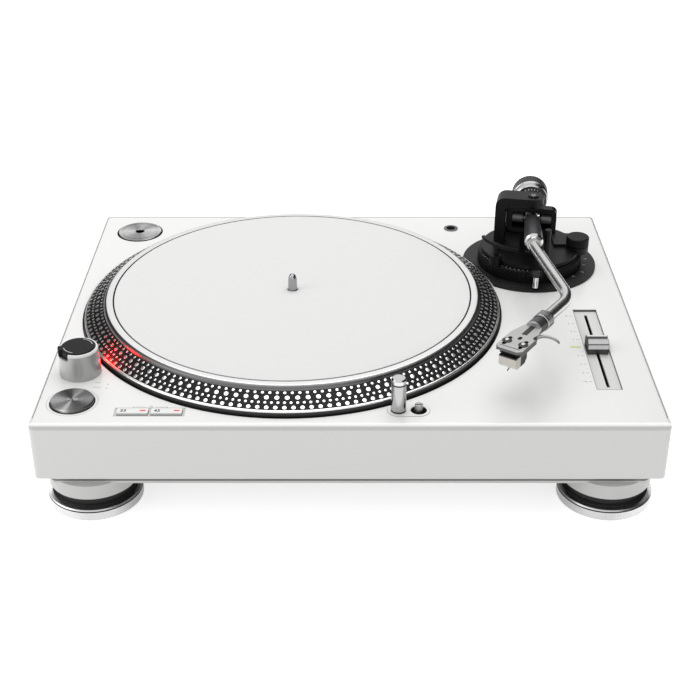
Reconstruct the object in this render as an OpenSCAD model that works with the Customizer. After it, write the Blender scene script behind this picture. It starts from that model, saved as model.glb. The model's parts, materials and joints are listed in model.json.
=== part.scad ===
// Direct-drive DJ turntable with an S-shaped tonearm, built as a jointed assembly.
// Millimetres. The origin is on the floor under the middle of the cabinet, +Z is up, the front is -Y.
// Heights of the pieces above the cabinet are counted from the deck, the flat white top.

/* [Cabinet] */
// Deck in front of the platter's well and behind it
deck_edge = 9; // [8:0.5:16]
// Deck to the left of the platter's well
side_edge = 11; // [9:0.5:20]
// Deck to the right of the platter's well
arm_side_w = 103; // [98:0.5:120]
// Height of the white shell
cabinet_h = 45.5; // [42:0.5:60]
// Rounding of the top edges
edge_r = 3.6; // [2:0.1:5]
// Rounding of the upright corners
corner_r = 4.5; // [2:0.1:8]
// Side wall of the shell
wall_t = 3; // [2:0.1:4]
// Thickness of the deck plate
deck_t = 4; // [3:0.1:5]
// Set-back of the base below the shell
base_inset = 9; // [7:0.5:12]
// Height of the base that shows below the shell
base_show = 10.2; // [8:0.1:16]
// Floor and walls of the base
base_t = 3; // [2:0.1:4]
// Height of the base's rim inside the shell
rim_h = 3; // [2:0.1:5]
// Distance of the screw posts from the sides
post_inset_x = 75; // [72:0.5:80]
// Distance of the screw posts from the front and the back
post_inset_y = 20; // [19:0.5:24]
// Radius of the screw posts
post_r = 4.5; // [3.5:0.1:6]
// Radius of a base screw's thread
screw_r = 1.5; // [1:0.1:2]
// Radius of a base screw's head
screw_head_r = 3; // [2.5:0.1:4]
// Height of a base screw's head
screw_head_h = 1.6; // [1:0.1:2]
// Length of a base screw's thread
screw_l = 12; // [8:0.5:20]

/* [Feet] */
// Distance of a foot's middle from the left or right side
foot_in_x = 35.5; // [35:0.5:45]
// Distance of a foot's middle from the front or the back
foot_in_y = 36; // [35:0.5:45]
// Radius of the metal ring a foot stands on
ring_r = 35; // [30:0.5:38]
// Height of the metal ring
ring_h = 9.2; // [7:0.1:14]
// Width of the metal rim round the rubber
ring_rim = 3.4; // [2:0.1:5]
// Height of the black rubber that shows
damper_show = 8.8; // [6:0.1:14]
// Radius of the rubber's waist
damper_r = 29; // [24:0.5:29]
// Radius of the white collar over a foot
collar_r = 33; // [30:0.5:36]
// Height of the white collar
collar_h = 10.3; // [8:0.1:16]
// Radius of the threaded stud
stud_r = 6; // [4:0.1:8]

/* [Platter] */
// Shift of the spindle from the middle of the depth
spindle_y = -1; // [-1:0.5:3]
// Radius of the platter
platter_r = 166; // [155:0.5:175]
// Gap between the platter and its well
well_gap = 2; // [1:0.1:3]
// Depth of the well below the deck
well_depth = 6; // [5:0.1:10]
// Thickness of the well's floor
well_floor = 3; // [2:0.1:4]
// Height of the platter's lip above the deck
lip_h = 15.4; // [14:0.1:18]
// Rounding at the outside of the lip
lip_round = 3.2; // [2:0.1:4]
// Width of the strobe band and the bright rim, seen from above
band_w = 15.5; // [13:0.1:18]
// Height of the strobe band's lower edge above the deck
strobe_foot_h = 4.6; // [4:0.1:6]
// Rounding of the bright rim below the strobe band
rim_round = 1.4; // [0.8:0.1:2]
// Thickness of the platter's casting
platter_t = 4; // [3:0.1:5]
// Width of the lip round the slip mat
lip_w = 8.6; // [7:0.1:11]
// Thickness of the slip mat
mat_t = 1.4; // [1:0.1:2]
// Seat of the mat below the top of the lip
mat_drop = 1.3; // [0.8:0.1:2]
// Radius of the record pin
pin_r = 3.58; // [3.5:0.01:3.62]
// Straight length of the record pin
pin_straight = 7; // [5:0.1:10]
// Height of the pin's pointed end
pin_tip = 6.6; // [4:0.1:8]
// Radius of the spindle shaft
shaft_r = 5; // [4.5:0.1:6]

/* [Motor] */
// Radius of the opening in the well for the motor
motor_open_r = 70; // [66:0.5:76]
// Thickness of a circuit board
board_t = 1.6; // [1:0.1:2.4]
// Number of motor coils
coil_count = 12; // [9:3:15]
// Radius of the circle the coils stand on
coil_ring_r = 44; // [40:0.5:47]
// Radius of one coil
coil_r = 8; // [6:0.1:8]
// Height of a coil
coil_h = 7; // [5:0.1:8]
// Inner radius of the rotor magnet
magnet_in_r = 57; // [56:0.5:60]
// Width of the rotor magnet
magnet_w = 9; // [6:0.1:10]
// Height of the rotor magnet
magnet_h = 8; // [6:0.1:9]
// Radius of the bearing sleeve
bearing_r = 9.5; // [8:0.1:12]
// Length of the bearing below the motor board
bearing_drop = 30; // [22:0.5:32]

/* [Controls on the left] */
// Direction of the strobe tower as seen from the spindle
tower_bearing = 214.07; // [210:0.01:218]
// Deck between the well and the tower
tower_clear = 1.9; // [1:0.1:4]
// Radius of the tower at the deck
tower_foot_r = 15.4; // [14:0.1:16]
// Radius of the tower at its top
tower_top_r = 14.4; // [13.6:0.1:15]
// Height of the tower
tower_h = 21.5; // [18:0.1:26]
// Radius of the power knob
power_r = 12.6; // [10:0.1:12.6]
// Rise of the power knob above the tower
power_rise = 0.7; // [0.3:0.1:2]
// Turn between on and off
power_turn = 36; // [20:1:60]
// Distance of the start button from the left side
start_in_x = 26.7; // [24:0.1:30]
// Distance of the start button from the front
start_in_y = 30; // [28:0.1:34]
// Radius of the start button
start_r = 15.6; // [12:0.1:16.5]
// Rise of the start button above the deck
start_rise = 2.5; // [1.9:0.1:4]
// Gap round the start button
start_gap = 0.8; // [0.5:0.1:1]
// Distance of the speed buttons' middle from the left side
speed_in_x = 83.6; // [80:0.1:88]
// Distance of the speed buttons from the front
speed_in_y = 16.8; // [15:0.1:18]
// Distance between the speed buttons
speed_pitch = 24; // [23:0.1:26]
// Width of a speed button
speed_w = 21.8; // [18:0.1:22]
// Depth of a speed button
speed_d = 6.5; // [5:0.1:8]
// Rise of a speed button above the deck
speed_rise = 1.2; // [1.1:0.1:3]
// Way that a button goes down
press = 1; // [0.5:0.1:1.2]
// Drop of the control board below the deck
control_drop = 19; // [17:0.5:24]

/* [Lamp] */
// Distance of the pop-up lamp from the front
lamp_in_y = 19; // [17:0.1:19.5]
// Distance of the pop-up lamp from the well
lamp_clear = 8.3; // [8.2:0.1:12]
// Radius of the lamp
lamp_r = 5.4; // [4:0.1:5.6]
// Rise of the lamp above the deck
lamp_rise = 27; // [20:0.5:32]
// Distance from the lamp to its button
lamp_pitch = 14.4; // [14:0.1:18]
// Radius of the lamp's button
lamp_button_r = 3; // [2:0.1:4]
// Rise of the lamp's button
lamp_button_rise = 5; // [3.2:0.1:7]
// Half depth of the lamp's plate
lamp_plate_r = 8; // [7.6:0.1:8.4]
// Thickness of the lamp's plate
lamp_plate_t = 1.5; // [1:0.1:2.5]

/* [Pitch fader] */
// Distance of the fader from the right side
fader_in_x = 36.3; // [31:0.1:45]
// Distance of the fader's middle from the front
fader_in_y = 108.5; // [105:0.1:111]
// Width of the fader's panel
panel_w = 18.7; // [17:0.1:22]
// Length of the fader's panel
panel_l = 123.2; // [118:0.1:130]
// Drop of the panel below the deck
panel_drop = 2; // [1:0.1:2.4]
// Thickness of the panel
panel_t = 1.5; // [1:0.1:2]
// Way of the fader to each side of its middle
fader_way = 48; // [30:1:50]
// Width of the slot for the fader's stem
slot_w = 2.4; // [2:0.1:4]
// Width of the fader's knob
fader_knob_w = 16; // [12:0.1:16.4]
// Length of the fader's knob
fader_knob_l = 15; // [10:0.1:16]
// Height of the fader's knob above the panel
fader_knob_h = 11; // [7:0.1:14]

/* [Places for loose pieces] */
// Distance of the large-hole adapter from the left side
adapter_in_x = 35.7; // [33:0.1:39]
// Distance of the large-hole adapter from the back
adapter_in_y = 36; // [34:0.1:39]
// Radius of the adapter
adapter_r = 19.2; // [18.8:0.1:19.4]
// Gap round the adapter in its cup
adapter_gap = 1.2; // [0.6:0.1:2]
// Height of the adapter
adapter_h = 9; // [6:0.1:12]
// Rise of the adapter above the deck
adapter_rise = 1; // [0.5:0.1:3]
// Distance of the spare shell's stand from the right side
stand_in_x = 133.5; // [129:0.1:139]
// Distance of the spare shell's stand from the back
stand_in_y = 28.5; // [25:0.1:33]
// Radius of the stand's bush
stand_r = 6.3; // [5.8:0.1:8]
// Radius of the stand's bore, for the plug of a spare shell
stand_bore_r = 4.05; // [4:0.01:4.2]
// Depth of the stand's bore
stand_depth = 12; // [8:0.1:16]

/* [Arm base] */
// Distance from the platter's rim to the arm's pivot
pivot_clear = 49; // [48:0.1:54]
// Direction of the pivot as seen from the spindle
pivot_bearing = 21.7; // [21:0.1:23]
// Radius of the black flange on the deck
flange_r = 56.4; // [52:0.1:60]
// Thickness of the flange
flange_t = 2; // [1.5:0.1:3]
// Radius of the height ring
height_r = 44; // [41:0.1:45]
// Height of the ring above the flange
height_h = 11; // [9:0.1:12]
// Number of grooves round the height ring
height_grooves = 72; // [48:12:96]
// Radius of the sliding drum inside the ring
drum_r = 30; // [26:0.1:32]
// Wall of the fixed sleeve round the drum
sleeve_t = 3; // [2:0.1:4]
// Radius of the platform that carries the arm
platform_r = 41; // [38:0.1:42]
// Thickness of the platform
platform_t = 3.4; // [2.5:0.1:4]
// Way that the whole arm can be raised
arm_raise = 6; // [4:0.5:8]
// Place of the anti-skate knob, right of the pivot
skate_x = 39.6; // [36:0.1:44]
// Place of the anti-skate knob, front to back from the pivot
skate_y = -4; // [-8:0.1:2]
// Radius of the anti-skate knob
skate_r = 9.6; // [7:0.1:11]
// Top of the anti-skate knob above the deck
skate_top = 27; // [24:0.1:30]
// Top of the block under the anti-skate knob above the deck
skate_block_top = 19; // [18:0.1:21]

/* [Tonearm] */
// Direction from the pivot to the stylus at rest
arm_heading = -100.8; // [-104:0.1:-99]
// Height of the arm's axis above the deck
arm_h = 42; // [41:0.1:46]
// Distance that the stylus reaches past the spindle
overhang = 15; // [12:0.1:18]
// Angle between the shell and the line to the stylus
offset_angle = 23; // [21:0.1:25]
// Angle between the hub and the line to the stylus
hub_angle = 6; // [3:0.1:8]
// Angle between the tube's first straight and the line to the stylus
tube_angle = 21; // [19:0.1:23]
// Radius of the arm's tube
tube_r = 4.5; // [4:0.1:5]
// Wall of the arm's tube
tube_t = 0.8; // [0.5:0.1:1.2]
// Radius of the tube's first bend
first_bend_r = 24; // [20:0.5:30]
// Radius of the tube's large bend
large_bend_r = 30; // [24:0.5:36]
// Radius of the hub at its front
hub_front_r = 7.5; // [6.6:0.1:8]
// Radius of the hub behind its flare
hub_back_r = 6.4; // [5.8:0.1:7]
// Radius of the hub where the axle crosses it
hub_waist_r = 4.9; // [4.2:0.1:5]
// Length of the hub in front of the pivot
hub_l = 49; // [44:0.5:52]
// Length of the bright ferrule
ferrule_l = 5; // [3:0.1:7]
// Radius of the bright ferrule
ferrule_r = 5.8; // [5.4:0.1:6.5]
// Half width of the gimbal's yoke
yoke_w = 20.5; // [19:0.1:21]
// Thickness of the yoke's bars
yoke_t = 4; // [3:0.1:5]
// Half depth of the yoke
yoke_d = 4; // [3:0.1:4]
// Top of the yoke above the arm's axis
yoke_up = 10.4; // [10:0.1:11]
// Bottom of the yoke below the arm's axis
yoke_down = 12; // [11:0.1:12]
// Radius of the pivots
pivot_r = 2; // [1.5:0.1:2.4]
// Width of the bracket's column
column_w = 8.5; // [6:0.1:10]
// Half depth of the bracket's column
column_d = 9; // [7:0.1:10]
// Top of the bracket above the arm's axis
bracket_up = 20; // [19:0.1:23]
// Thickness of the bracket's upper arm
bracket_t = 6.5; // [5:0.1:7]
// Radius of the rod behind the pivot
stub_r = 4.5; // [4:0.1:5]
// Length of the rod behind the pivot
stub_l = 68; // [64:0.5:72]
// Front of the tracking dial behind the pivot
dial_start = 27; // [26:0.5:30]
// Radius of the tracking dial
dial_r = 12.6; // [11:0.1:13.5]
// Length of the tracking dial
dial_l = 8; // [6:0.1:10]
// Radius of the counterweight
weight_r = 15.5; // [14:0.1:16]
// Length of the counterweight
weight_l = 22; // [18:0.1:24]
// Radius of the bush inside the counterweight
bush_r = 8; // [7:0.1:9]

/* [Headshell] */
// Distance from the shell's seat to the stylus
shell_reach = 48; // [46:0.1:50]
// Radius of the collar nut
nut_r = 6.8; // [6.2:0.1:8]
// Length of the collar nut
nut_l = 10; // [8:0.1:12]
// Width of the shell at its front
shell_w = 20.5; // [18:0.1:22]
// Width of the shell at its back
shell_back_w = 12; // [10:0.1:13]
// Thickness of the shell's plate
shell_t = 2.4; // [2:0.1:3]
// Length of the shell in front of its seat
shell_l = 50; // [49:0.1:53]
// Distance between the two cartridge screws
screw_pitch = 12.7; // [12:0.1:13]
// Width of the cartridge
cart_w = 15.5; // [13:0.1:17]
// Length of the cartridge
cart_l = 17; // [15:0.1:20]
// Height of the stylus tip below the arm's axis
stylus_drop = 16; // [15:0.1:17]

/* [Cueing] */
// Radius of the arc that lifts the arm
lift_arc_r = 44; // [42:0.1:45]
// Way that the lift rises
lift_rise = 1.84; // [1:0.01:2.2]
// Thickness of the lift's bar
lift_t = 2.6; // [2:0.1:3.4]
// Radius of the lift's rod
lift_rod_r = 2; // [1.5:0.1:2.5]
// Length of the cue lever
lever_l = 12; // [10:0.1:12]
// Radius of the cue lever's bright end
lever_r = 2.7; // [2:0.1:3]
// Radius of the arm rest's post
rest_r = 2.6; // [2:0.1:2.8]

/* [Back] */
// Distance of a bay's middle from the nearer side
bay_in_x = 109; // [107:1:119]
// Width of a bay
bay_w = 60; // [56:0.5:72]
// Height of a bay
bay_h = 24; // [20:0.5:26]
// Depth of a bay
bay_d = 13; // [12:0.5:16]
// Wall of a bay
bay_t = 2; // [1.5:0.1:3]
// Drop of a bay's middle below the deck
bay_drop = 25; // [22:0.5:26]
// Radius of an output jack's barrel
jack_r = 4.15; // [4:0.01:4.3]
// Length of an output jack's barrel
jack_l = 9; // [7:0.1:10]
// Distance between the output jacks
jack_pitch = 15; // [14:0.1:18]
// Half height of the mains inlet's mouth
inlet_r = 4.4; // [4.2:0.1:5]
// Distance between the mains inlet's pins
inlet_pitch = 8.6; // [8:0.1:9]
// Depth of the mains inlet's mouth
inlet_d = 13; // [11:0.1:15]

/* [Fits] */
// Running clearance round a shaft
fit = 0.05; // [0.02:0.01:0.08]
// Clearance between faces that move past each other
gap = 0.3; // [0.3:0.05:0.6]

/* [Hidden] */
$fn = 96;
EPS = 0.01;

// Levels above the floor
collar_z = ring_h + damper_show;
base_z = collar_z + collar_h;
shell_z = base_z + base_show;
deck_z = shell_z + cabinet_h;
floor_z = base_z + base_t;

// Plan of the deck: the well, the cabinet round it, and the pieces placed from its sides
well_r = platter_r + well_gap;
cabinet_w = 2 * well_r + side_edge + arm_side_w;
cabinet_d = 2 * (well_r + deck_edge);
left_x = -cabinet_w / 2;
right_x = cabinet_w / 2;
front_y = -cabinet_d / 2;
back_y = cabinet_d / 2;
spindle_x = left_x + side_edge + well_r;
tower_reach = well_r + tower_clear + tower_foot_r;
tower_x = spindle_x + tower_reach * cos(tower_bearing);
tower_y = spindle_y + tower_reach * sin(tower_bearing);
start_x = left_x + start_in_x;
start_y = front_y + start_in_y;
speed_x = left_x + speed_in_x;
speed_y = front_y + speed_in_y;
lamp_y = front_y + lamp_in_y;
lamp_x = spindle_x + sqrt(pow(well_r + lamp_clear, 2) - pow(lamp_y - spindle_y, 2));
fader_x = right_x - fader_in_x;
fader_y = front_y + fader_in_y;
adapter_x = left_x + adapter_in_x;
adapter_y = back_y - adapter_in_y;
stand_x = right_x - stand_in_x;
stand_y = back_y - stand_in_y;
jack_bay_x = right_x - bay_in_x;
mains_bay_x = left_x + bay_in_x;

// Platter and mat
lip_r = platter_r - band_w;
mat_r = lip_r - lip_w;
well_wall = 2;
mat_seat_h = lip_h - mat_drop;
mat_gap = 0.8;
lip_edge = 0.3;
mat_top_h = mat_seat_h + gap / 3 + mat_t;
pin_foot_h = mat_top_h + gap / 3;
pin_step = 0.5;
strobe_top_h = lip_h - lip_round;
strobe_foot_r = platter_r - rim_round;
skirt_bottom_h = -2.5;
skirt_t = 4.5;
under_h = mat_seat_h - platter_t;
hub_r = 16;
hub_bottom_h = 1;
rib_count = 12;
rib_t = 3;
rib_h = 4;
rib_start_r = magnet_in_r + magnet_w + 2;

// Motor, counted from the underside of the well
motor_board_top_h = -well_depth - well_floor;
motor_board_r = motor_open_r + 5;
coil_top_h = motor_board_top_h + coil_h;
bearing_bottom_h = motor_board_top_h - board_t - bearing_drop;
bearing_flange_r = 17;
bearing_flange_t = 3;
thrust_t = 3;

// Boards and power supply
board_feet = 12;
board_foot_in = 6;
main_board_w = 120;
main_board_d = 80;
main_board_in_x = 133;
main_board_in_y = 85;
chip_w = 24;
chip_t = 2;
capacitor_r = 5;
capacitor_h = 12;
capacitor_pitch = 14;
supply_in_x = 97;
supply_in_y = 72;
supply_foot_t = 2;
core_w = 56;
core_d = 22;
core_h = 36;
core_yoke = 7;
winding_lap = 20;

// Screw posts of the shell, clear of the well and the controls
post_px = right_x - post_inset_x;
post_py = back_y - post_inset_y;
middle_post_shift = 5;
front_post_in = [75, 37];
post_spots = [
    [-post_px, post_py],
    [post_px, post_py],
    [post_px, -post_py],
    [post_px / 2, -post_py],
    [post_px / 2 - middle_post_shift, post_py],
    [left_x + front_post_in[0], front_y + front_post_in[1]]
];

// Feet
foot_x = right_x - foot_in_x;
foot_y = back_y - foot_in_y;
foot_spots = [for (sy = [-1, 1]) for (sx = [-1, 1]) [sx * foot_x, sy * foot_y]];
foot_recess = 1.2;
foot_chamfer = 0.8;
foot_line_low = 1.9;
foot_line_high = 1;
foot_line_deep = 0.5;
damper_flare = 2.2;
stud_rise = 4;
spigot_r = 10;
spigot_l = 5;

// Controls
control_top_h = -control_drop;
switch_h = 5;
button_flange_t = 1.9;
button_stem_end_h = control_top_h + switch_h + press + gap;
button_flange_top_h = -deck_t - gap;
button_flange_low_h = button_flange_top_h - button_flange_t;
start_chamfer = 0.7;
speed_pocket = 0.6;
speed_gap = 0.3;
tower_cup_h = 9;
knob_floor_h = tower_cup_h + gap;
tab_w = 6.5;
tab_angle = 195;
tab_drop = 5.5;
tab_out = 0.5;
tab_root = 4;
tab_half = asin(tab_w / 2 / power_r);
tower_edge = 1;
power_stem_r = 3;
switch_w = 12;
small_switch_w = 7;
start_stem_r = 5;
speed_stem_r = 2.5;
flange_lap = 1.4;
speed_pocket_rim = 2.5;
control_board_d = 42;
control_board_rim = 13;
tower_post_shift = [27, -22];
speed_post_shift = [8, 10];
control_posts = [
    [tower_x, tower_y] + tower_post_shift,
    [speed_x + speed_pitch, speed_y] + speed_post_shift
];
lens_angle = atan2(spindle_y - tower_y, spindle_x - tower_x) - 22;
lens_w = 6;
lens_low = 2.5;
lens_high = 16;
lens_t = 1;

// Lamp
lamp_wall = 1.3;
lamp_sleeve_r = lamp_r + fit + lamp_wall;
lamp_sleeve_l = lamp_rise + 6;
lamp_tail = 5;
button_cup_r = 5.85;
button_cup_l = 9;
lamp_pocket = 1.2;
lamp_chamfer = 1;
lamp_groove_low = 4.2;
lamp_groove_w = 0.4;
lamp_groove_deep = 0.35;
lamp_window_angle = 117;
lamp_window_w = 4.4;
lamp_window_h = 5.6;
lamp_window_low = 11;
lamp_window_deep = 1.2;
button_cup_floor = 3;
lamp_stem_end = button_cup_l + 4;
lamp_flange_low = 2;
lamp_flange_high = 4;
lamp_slit_w = 1;
lamp_slit_deep = 0.8;

// Fader
frame_wall = 3;
frame_t = 3;
panel_ledge = 2;
panel_top_h = -panel_drop;
frame_top_h = panel_top_h - panel_t;
frame_bottom_h = frame_top_h - frame_t;
track_h = 9;
stem_w = slot_w - 2 * gap;
stem_l = 6;
slot_l = 2 * fader_way + stem_l + 4;
track_floor = 2;
fader_slope = 3;
fader_crest = 3.4;
fader_dip = 1;
fader_dip_w = 2.4;
fader_line_w = 0.9;

// Adapter and stand
adapter_pocket_r = adapter_r + adapter_gap;
adapter_floor_h = adapter_rise - adapter_h - gap;
cup_t = 2;
adapter_bore_r = pin_r + 0.07;
adapter_edge = 0.5;
adapter_line_in = 3.4;
adapter_line_w = 0.6;
adapter_line_deep = 0.3;
stand_lip = 0.8;
stand_lip_t = 0.6;
stand_floor = 2;

// Arm base, counted from the deck
pivot_reach = platter_r + pivot_clear;
pivot_x = spindle_x + pivot_reach * cos(pivot_bearing);
pivot_y = spindle_y + pivot_reach * sin(pivot_bearing);
sleeve_r = drum_r + sleeve_t;
sleeve_l = 9;
ring_low_h = flange_t + gap;
ring_top_h = flange_t + height_h;
platform_low_h = ring_top_h + gap;
platform_top_h = platform_low_h + platform_t;
drum_bottom_h = -arm_raise - 2;
seat_top_h = arm_h - yoke_down - 0.8;
seat_r = 9;
skate_block_w = 2 * skate_r + 3;
skate_block_shift = 8;
skate_block_root = 20;
skate_stem_r = 2.5;
skate_stem_l = 4.5;
skate_grooves = 30;

// Tonearm, in the frame of the arm: x runs to the stylus, z counts from the axis
arm_reach = pivot_reach + overhang;
bracket_gap = 1.6;
bracket_in_y = -(yoke_w + bracket_gap);
bracket_out_y = bracket_in_y - column_w;
bracket_low = bracket_up - bracket_t;
shoulder_r = 8;
fillet_r = 3;
bracket_screw_r = 2.5;
bracket_screw_head_r = 4.4;
bracket_screw_head_h = 1.2;
pivot_pin_l = 4;
yoke_top_in = yoke_up - yoke_t;
yoke_low_in = yoke_down - yoke_t;
axle_l = yoke_w - yoke_t + 3;
boss_r = 4;
boss_gap = 1.6;
stub_end = 12;
hub_step = 1.4;
hub_flare_start = 4;
hub_flare_end = 16;
hub_chamfer = 1.5;
band_l = 8;
band_step = 0.8;
weight_grooves = 40;
nut_grooves = 24;
dial_end = dial_start + dial_l;
weight_start = dial_end + gap;
weight_end = weight_start + weight_l;

// Tube: a straight in the hub, a small bend, a straight, the large bend and the last straight to the shell
seat_s = arm_reach - shell_reach * cos(offset_angle);
seat_t = shell_reach * sin(offset_angle);
tube_in = 12;
bend_thin = 0.04;
bend_lap = 0.05;
tube_straight = hub_l + ferrule_l;
bend_in = tube_straight * [cos(hub_angle), sin(hub_angle)];
first_move = first_bend_r * [sin(tube_angle) - sin(hub_angle), cos(hub_angle) - cos(tube_angle)];
large_move = large_bend_r * [sin(tube_angle) + sin(offset_angle), cos(offset_angle) - cos(tube_angle)];
rest_move = [seat_s, seat_t] - bend_in - first_move - large_move;
run_det = -sin(tube_angle + offset_angle);
first_run = (-rest_move[0] * sin(offset_angle) - rest_move[1] * cos(offset_angle)) / run_det;
last_run = (cos(tube_angle) * rest_move[1] - sin(tube_angle) * rest_move[0]) / run_det;
plug_r = tube_r - 0.5;
plug_l = 7;
tube_back = plug_l + 1;

// Shell and cartridge, in the frame of the shell: x runs to the front, z counts from the arm's axis
shell_top = 2.6;
shell_low = shell_top - shell_t;
skirt_low = shell_low - 2;
cart_front = shell_reach + 1;
cart_back = cart_front - cart_l;
mount_h = 4;
cart_low = -stylus_drop + 2.4;
shell_neck = 9;
shell_flare = 16;
shell_chamfer = 3;
shell_edge = [
    [0, shell_back_w / 2], [shell_neck, shell_back_w / 2], [shell_neck + shell_flare, shell_w / 2],
    [shell_l - shell_chamfer, shell_w / 2], [shell_l, shell_w / 2 - shell_chamfer]
];
shell_wall = 1.2;
skirt_l = shell_l - shell_chamfer - shell_neck - shell_flare;
finger_x = 31;
finger_r = 1.1;
finger_run = 6;
finger_bend_r = 20;
finger_sweep = 62;
finger_droop = 14;
slot_r = 1.5;
screw_slot_l = 10;
screw_x = shell_reach - 9.5;
long_slot_x = 13;
long_slot_l = 11;
long_slot_r = 1.6;
oval_x = 30;
oval_l = 2.4;
oval_r = 1.3;
cart_step = 3;
cart_bevel = 2.5;
cart_pin_r = 0.6;
cart_pin_l = 4;
cart_pin_y = 3;
cart_pin_h = 5.2;
cart_pin_pitch = 3.6;
stylus_block_in = 5;
stylus_block_w = 5;
stylus_block_t = 1;
cantilever_r = 0.35;
cantilever_l = 5.7;
cantilever_angle = 105;
cantilever_root = 5.5;
tip_r = 0.3;
tip_h = 0.8;

// Cueing, in the frame of the arm
lift_top = -lift_rise - hub_front_r - gap;
lift_start = -9;
lift_sweep = 52;
lift_rod_angle = -36;
lift_boss_r = 5;
lift_boss_top_h = 22;
lift_spot = lift_arc_r * [cos(lift_rod_angle), sin(lift_rod_angle)];
lever_x = 50;
lever_y = 9;
lever_z = 15;
lever_drop = 78;
lever_hub_r = 3.4;
lever_hub_w = 5;
ear_t = 2;
rest_x = 40;
rest_y = 15.8;
rest_top = 8.5;

// Bays at the back
bay_face_y = back_y - bay_d;
jack_spots = [for (i = [-1 : 1]) jack_bay_x + i * jack_pitch];
jack_bore_r = 1.7;
jack_bore_l = 7.5;
ground_nut_r = 5;
ground_nut_start = 4;
inlet_face_t = 1.5;
inlet_pin_r = 1.15;
inlet_pin_back = 3.5;
bay_z = deck_z - bay_drop;
jack_flange_r = 6;
jack_flange_t = 1.5;
inlet_lip = 3;
inlet_wall = 1.8;

// Points of an arc round a centre
function arc(centre, r, from, to, steps) =
    [for (i = [0 : steps]) let (a = from + (to - from) * i / steps) centre + r * [cos(a), sin(a)]];

// Frames
module on_deck(x, y) translate([x, y, deck_z]) children();
module on_spindle() on_deck(spindle_x, spindle_y) children();
module on_pivot() on_deck(pivot_x, pivot_y) children();
module on_base() on_pivot() rotate([0, 0, arm_heading]) children();
module on_arm() on_base() translate([0, 0, arm_h]) children();
module on_hub() on_arm() rotate([0, 0, hub_angle]) children();
module on_shell() on_arm() translate([seat_s, seat_t, 0]) rotate([0, 0, -offset_angle]) children();
module along_x() rotate([0, 90, 0]) children();
module along_y() rotate([-90, 0, 0]) children();

// A cylinder between two heights
module drum(r, low, high) translate([0, 0, low]) cylinder(r = r, h = high - low);
// A tube between two heights
module pipe(out_r, in_r, low, high) difference() {
    drum(out_r, low, high);
    drum(in_r, low - 1, high + 1);
}
// A block between two heights, centred in plan
module slab(w, d, low, high) translate([-w / 2, -d / 2, low]) cube([w, d, high - low]);
// A rectangle with round corners
module round_rect(w, d, r) {
    square([w - 2 * r, d], center = true);
    square([w, d - 2 * r], center = true);
    for (sx = [-1, 1], sy = [-1, 1]) translate([sx * (w / 2 - r), sy * (d / 2 - r)]) circle(r);
}
// A strip with round ends, from the origin along x
module stadium(l, r) {
    translate([0, -r]) square([l, 2 * r]);
    circle(r);
    translate([l, 0]) circle(r);
}
// Copies of a groove cut round a cylinder
module grooves(count, r, depth_r, low, high) {
    for (i = [0 : count - 1]) rotate([0, 0, 360 * i / count]) translate([r, 0, 0]) drum(depth_r, low, high);
}

// Side view of the shell: upright sides with a round top edge
module shell_profile(w) {
    translate([-w / 2, -1]) square([w, cabinet_h - edge_r + 1]);
    translate([edge_r - w / 2, -1]) square([w - 2 * edge_r, cabinet_h + 1]);
    for (s = [-1, 1]) translate([s * (w / 2 - edge_r), cabinet_h - edge_r]) circle(edge_r);
}
module shell_block() intersection() {
    linear_extrude(cabinet_h + 1) round_rect(cabinet_w, cabinet_d, corner_r);
    rotate([90, 0, 0]) linear_extrude(cabinet_d + 2, center = true) shell_profile(cabinet_w);
    rotate([90, 0, 90]) linear_extrude(cabinet_w + 2, center = true) shell_profile(cabinet_d);
}
// What hangs below the deck: the well, the adapter's cup, the fader's frame and the posts
module shell_inside() {
    on_spindle() drum(well_r + well_wall, -well_depth - well_floor, -1);
    on_deck(adapter_x, adapter_y) drum(adapter_pocket_r + cup_t, adapter_floor_h - cup_t, -1);
    on_deck(fader_x, fader_y) slab(panel_w + 2 * frame_wall, panel_l + 2 * frame_wall, frame_bottom_h, -1);
    for (p = post_spots) translate([p[0], p[1], 0]) drum(post_r, floor_z, deck_z - 1);
    for (p = control_posts) on_deck(p[0], p[1]) drum(post_r, control_top_h, -1);
}

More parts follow.
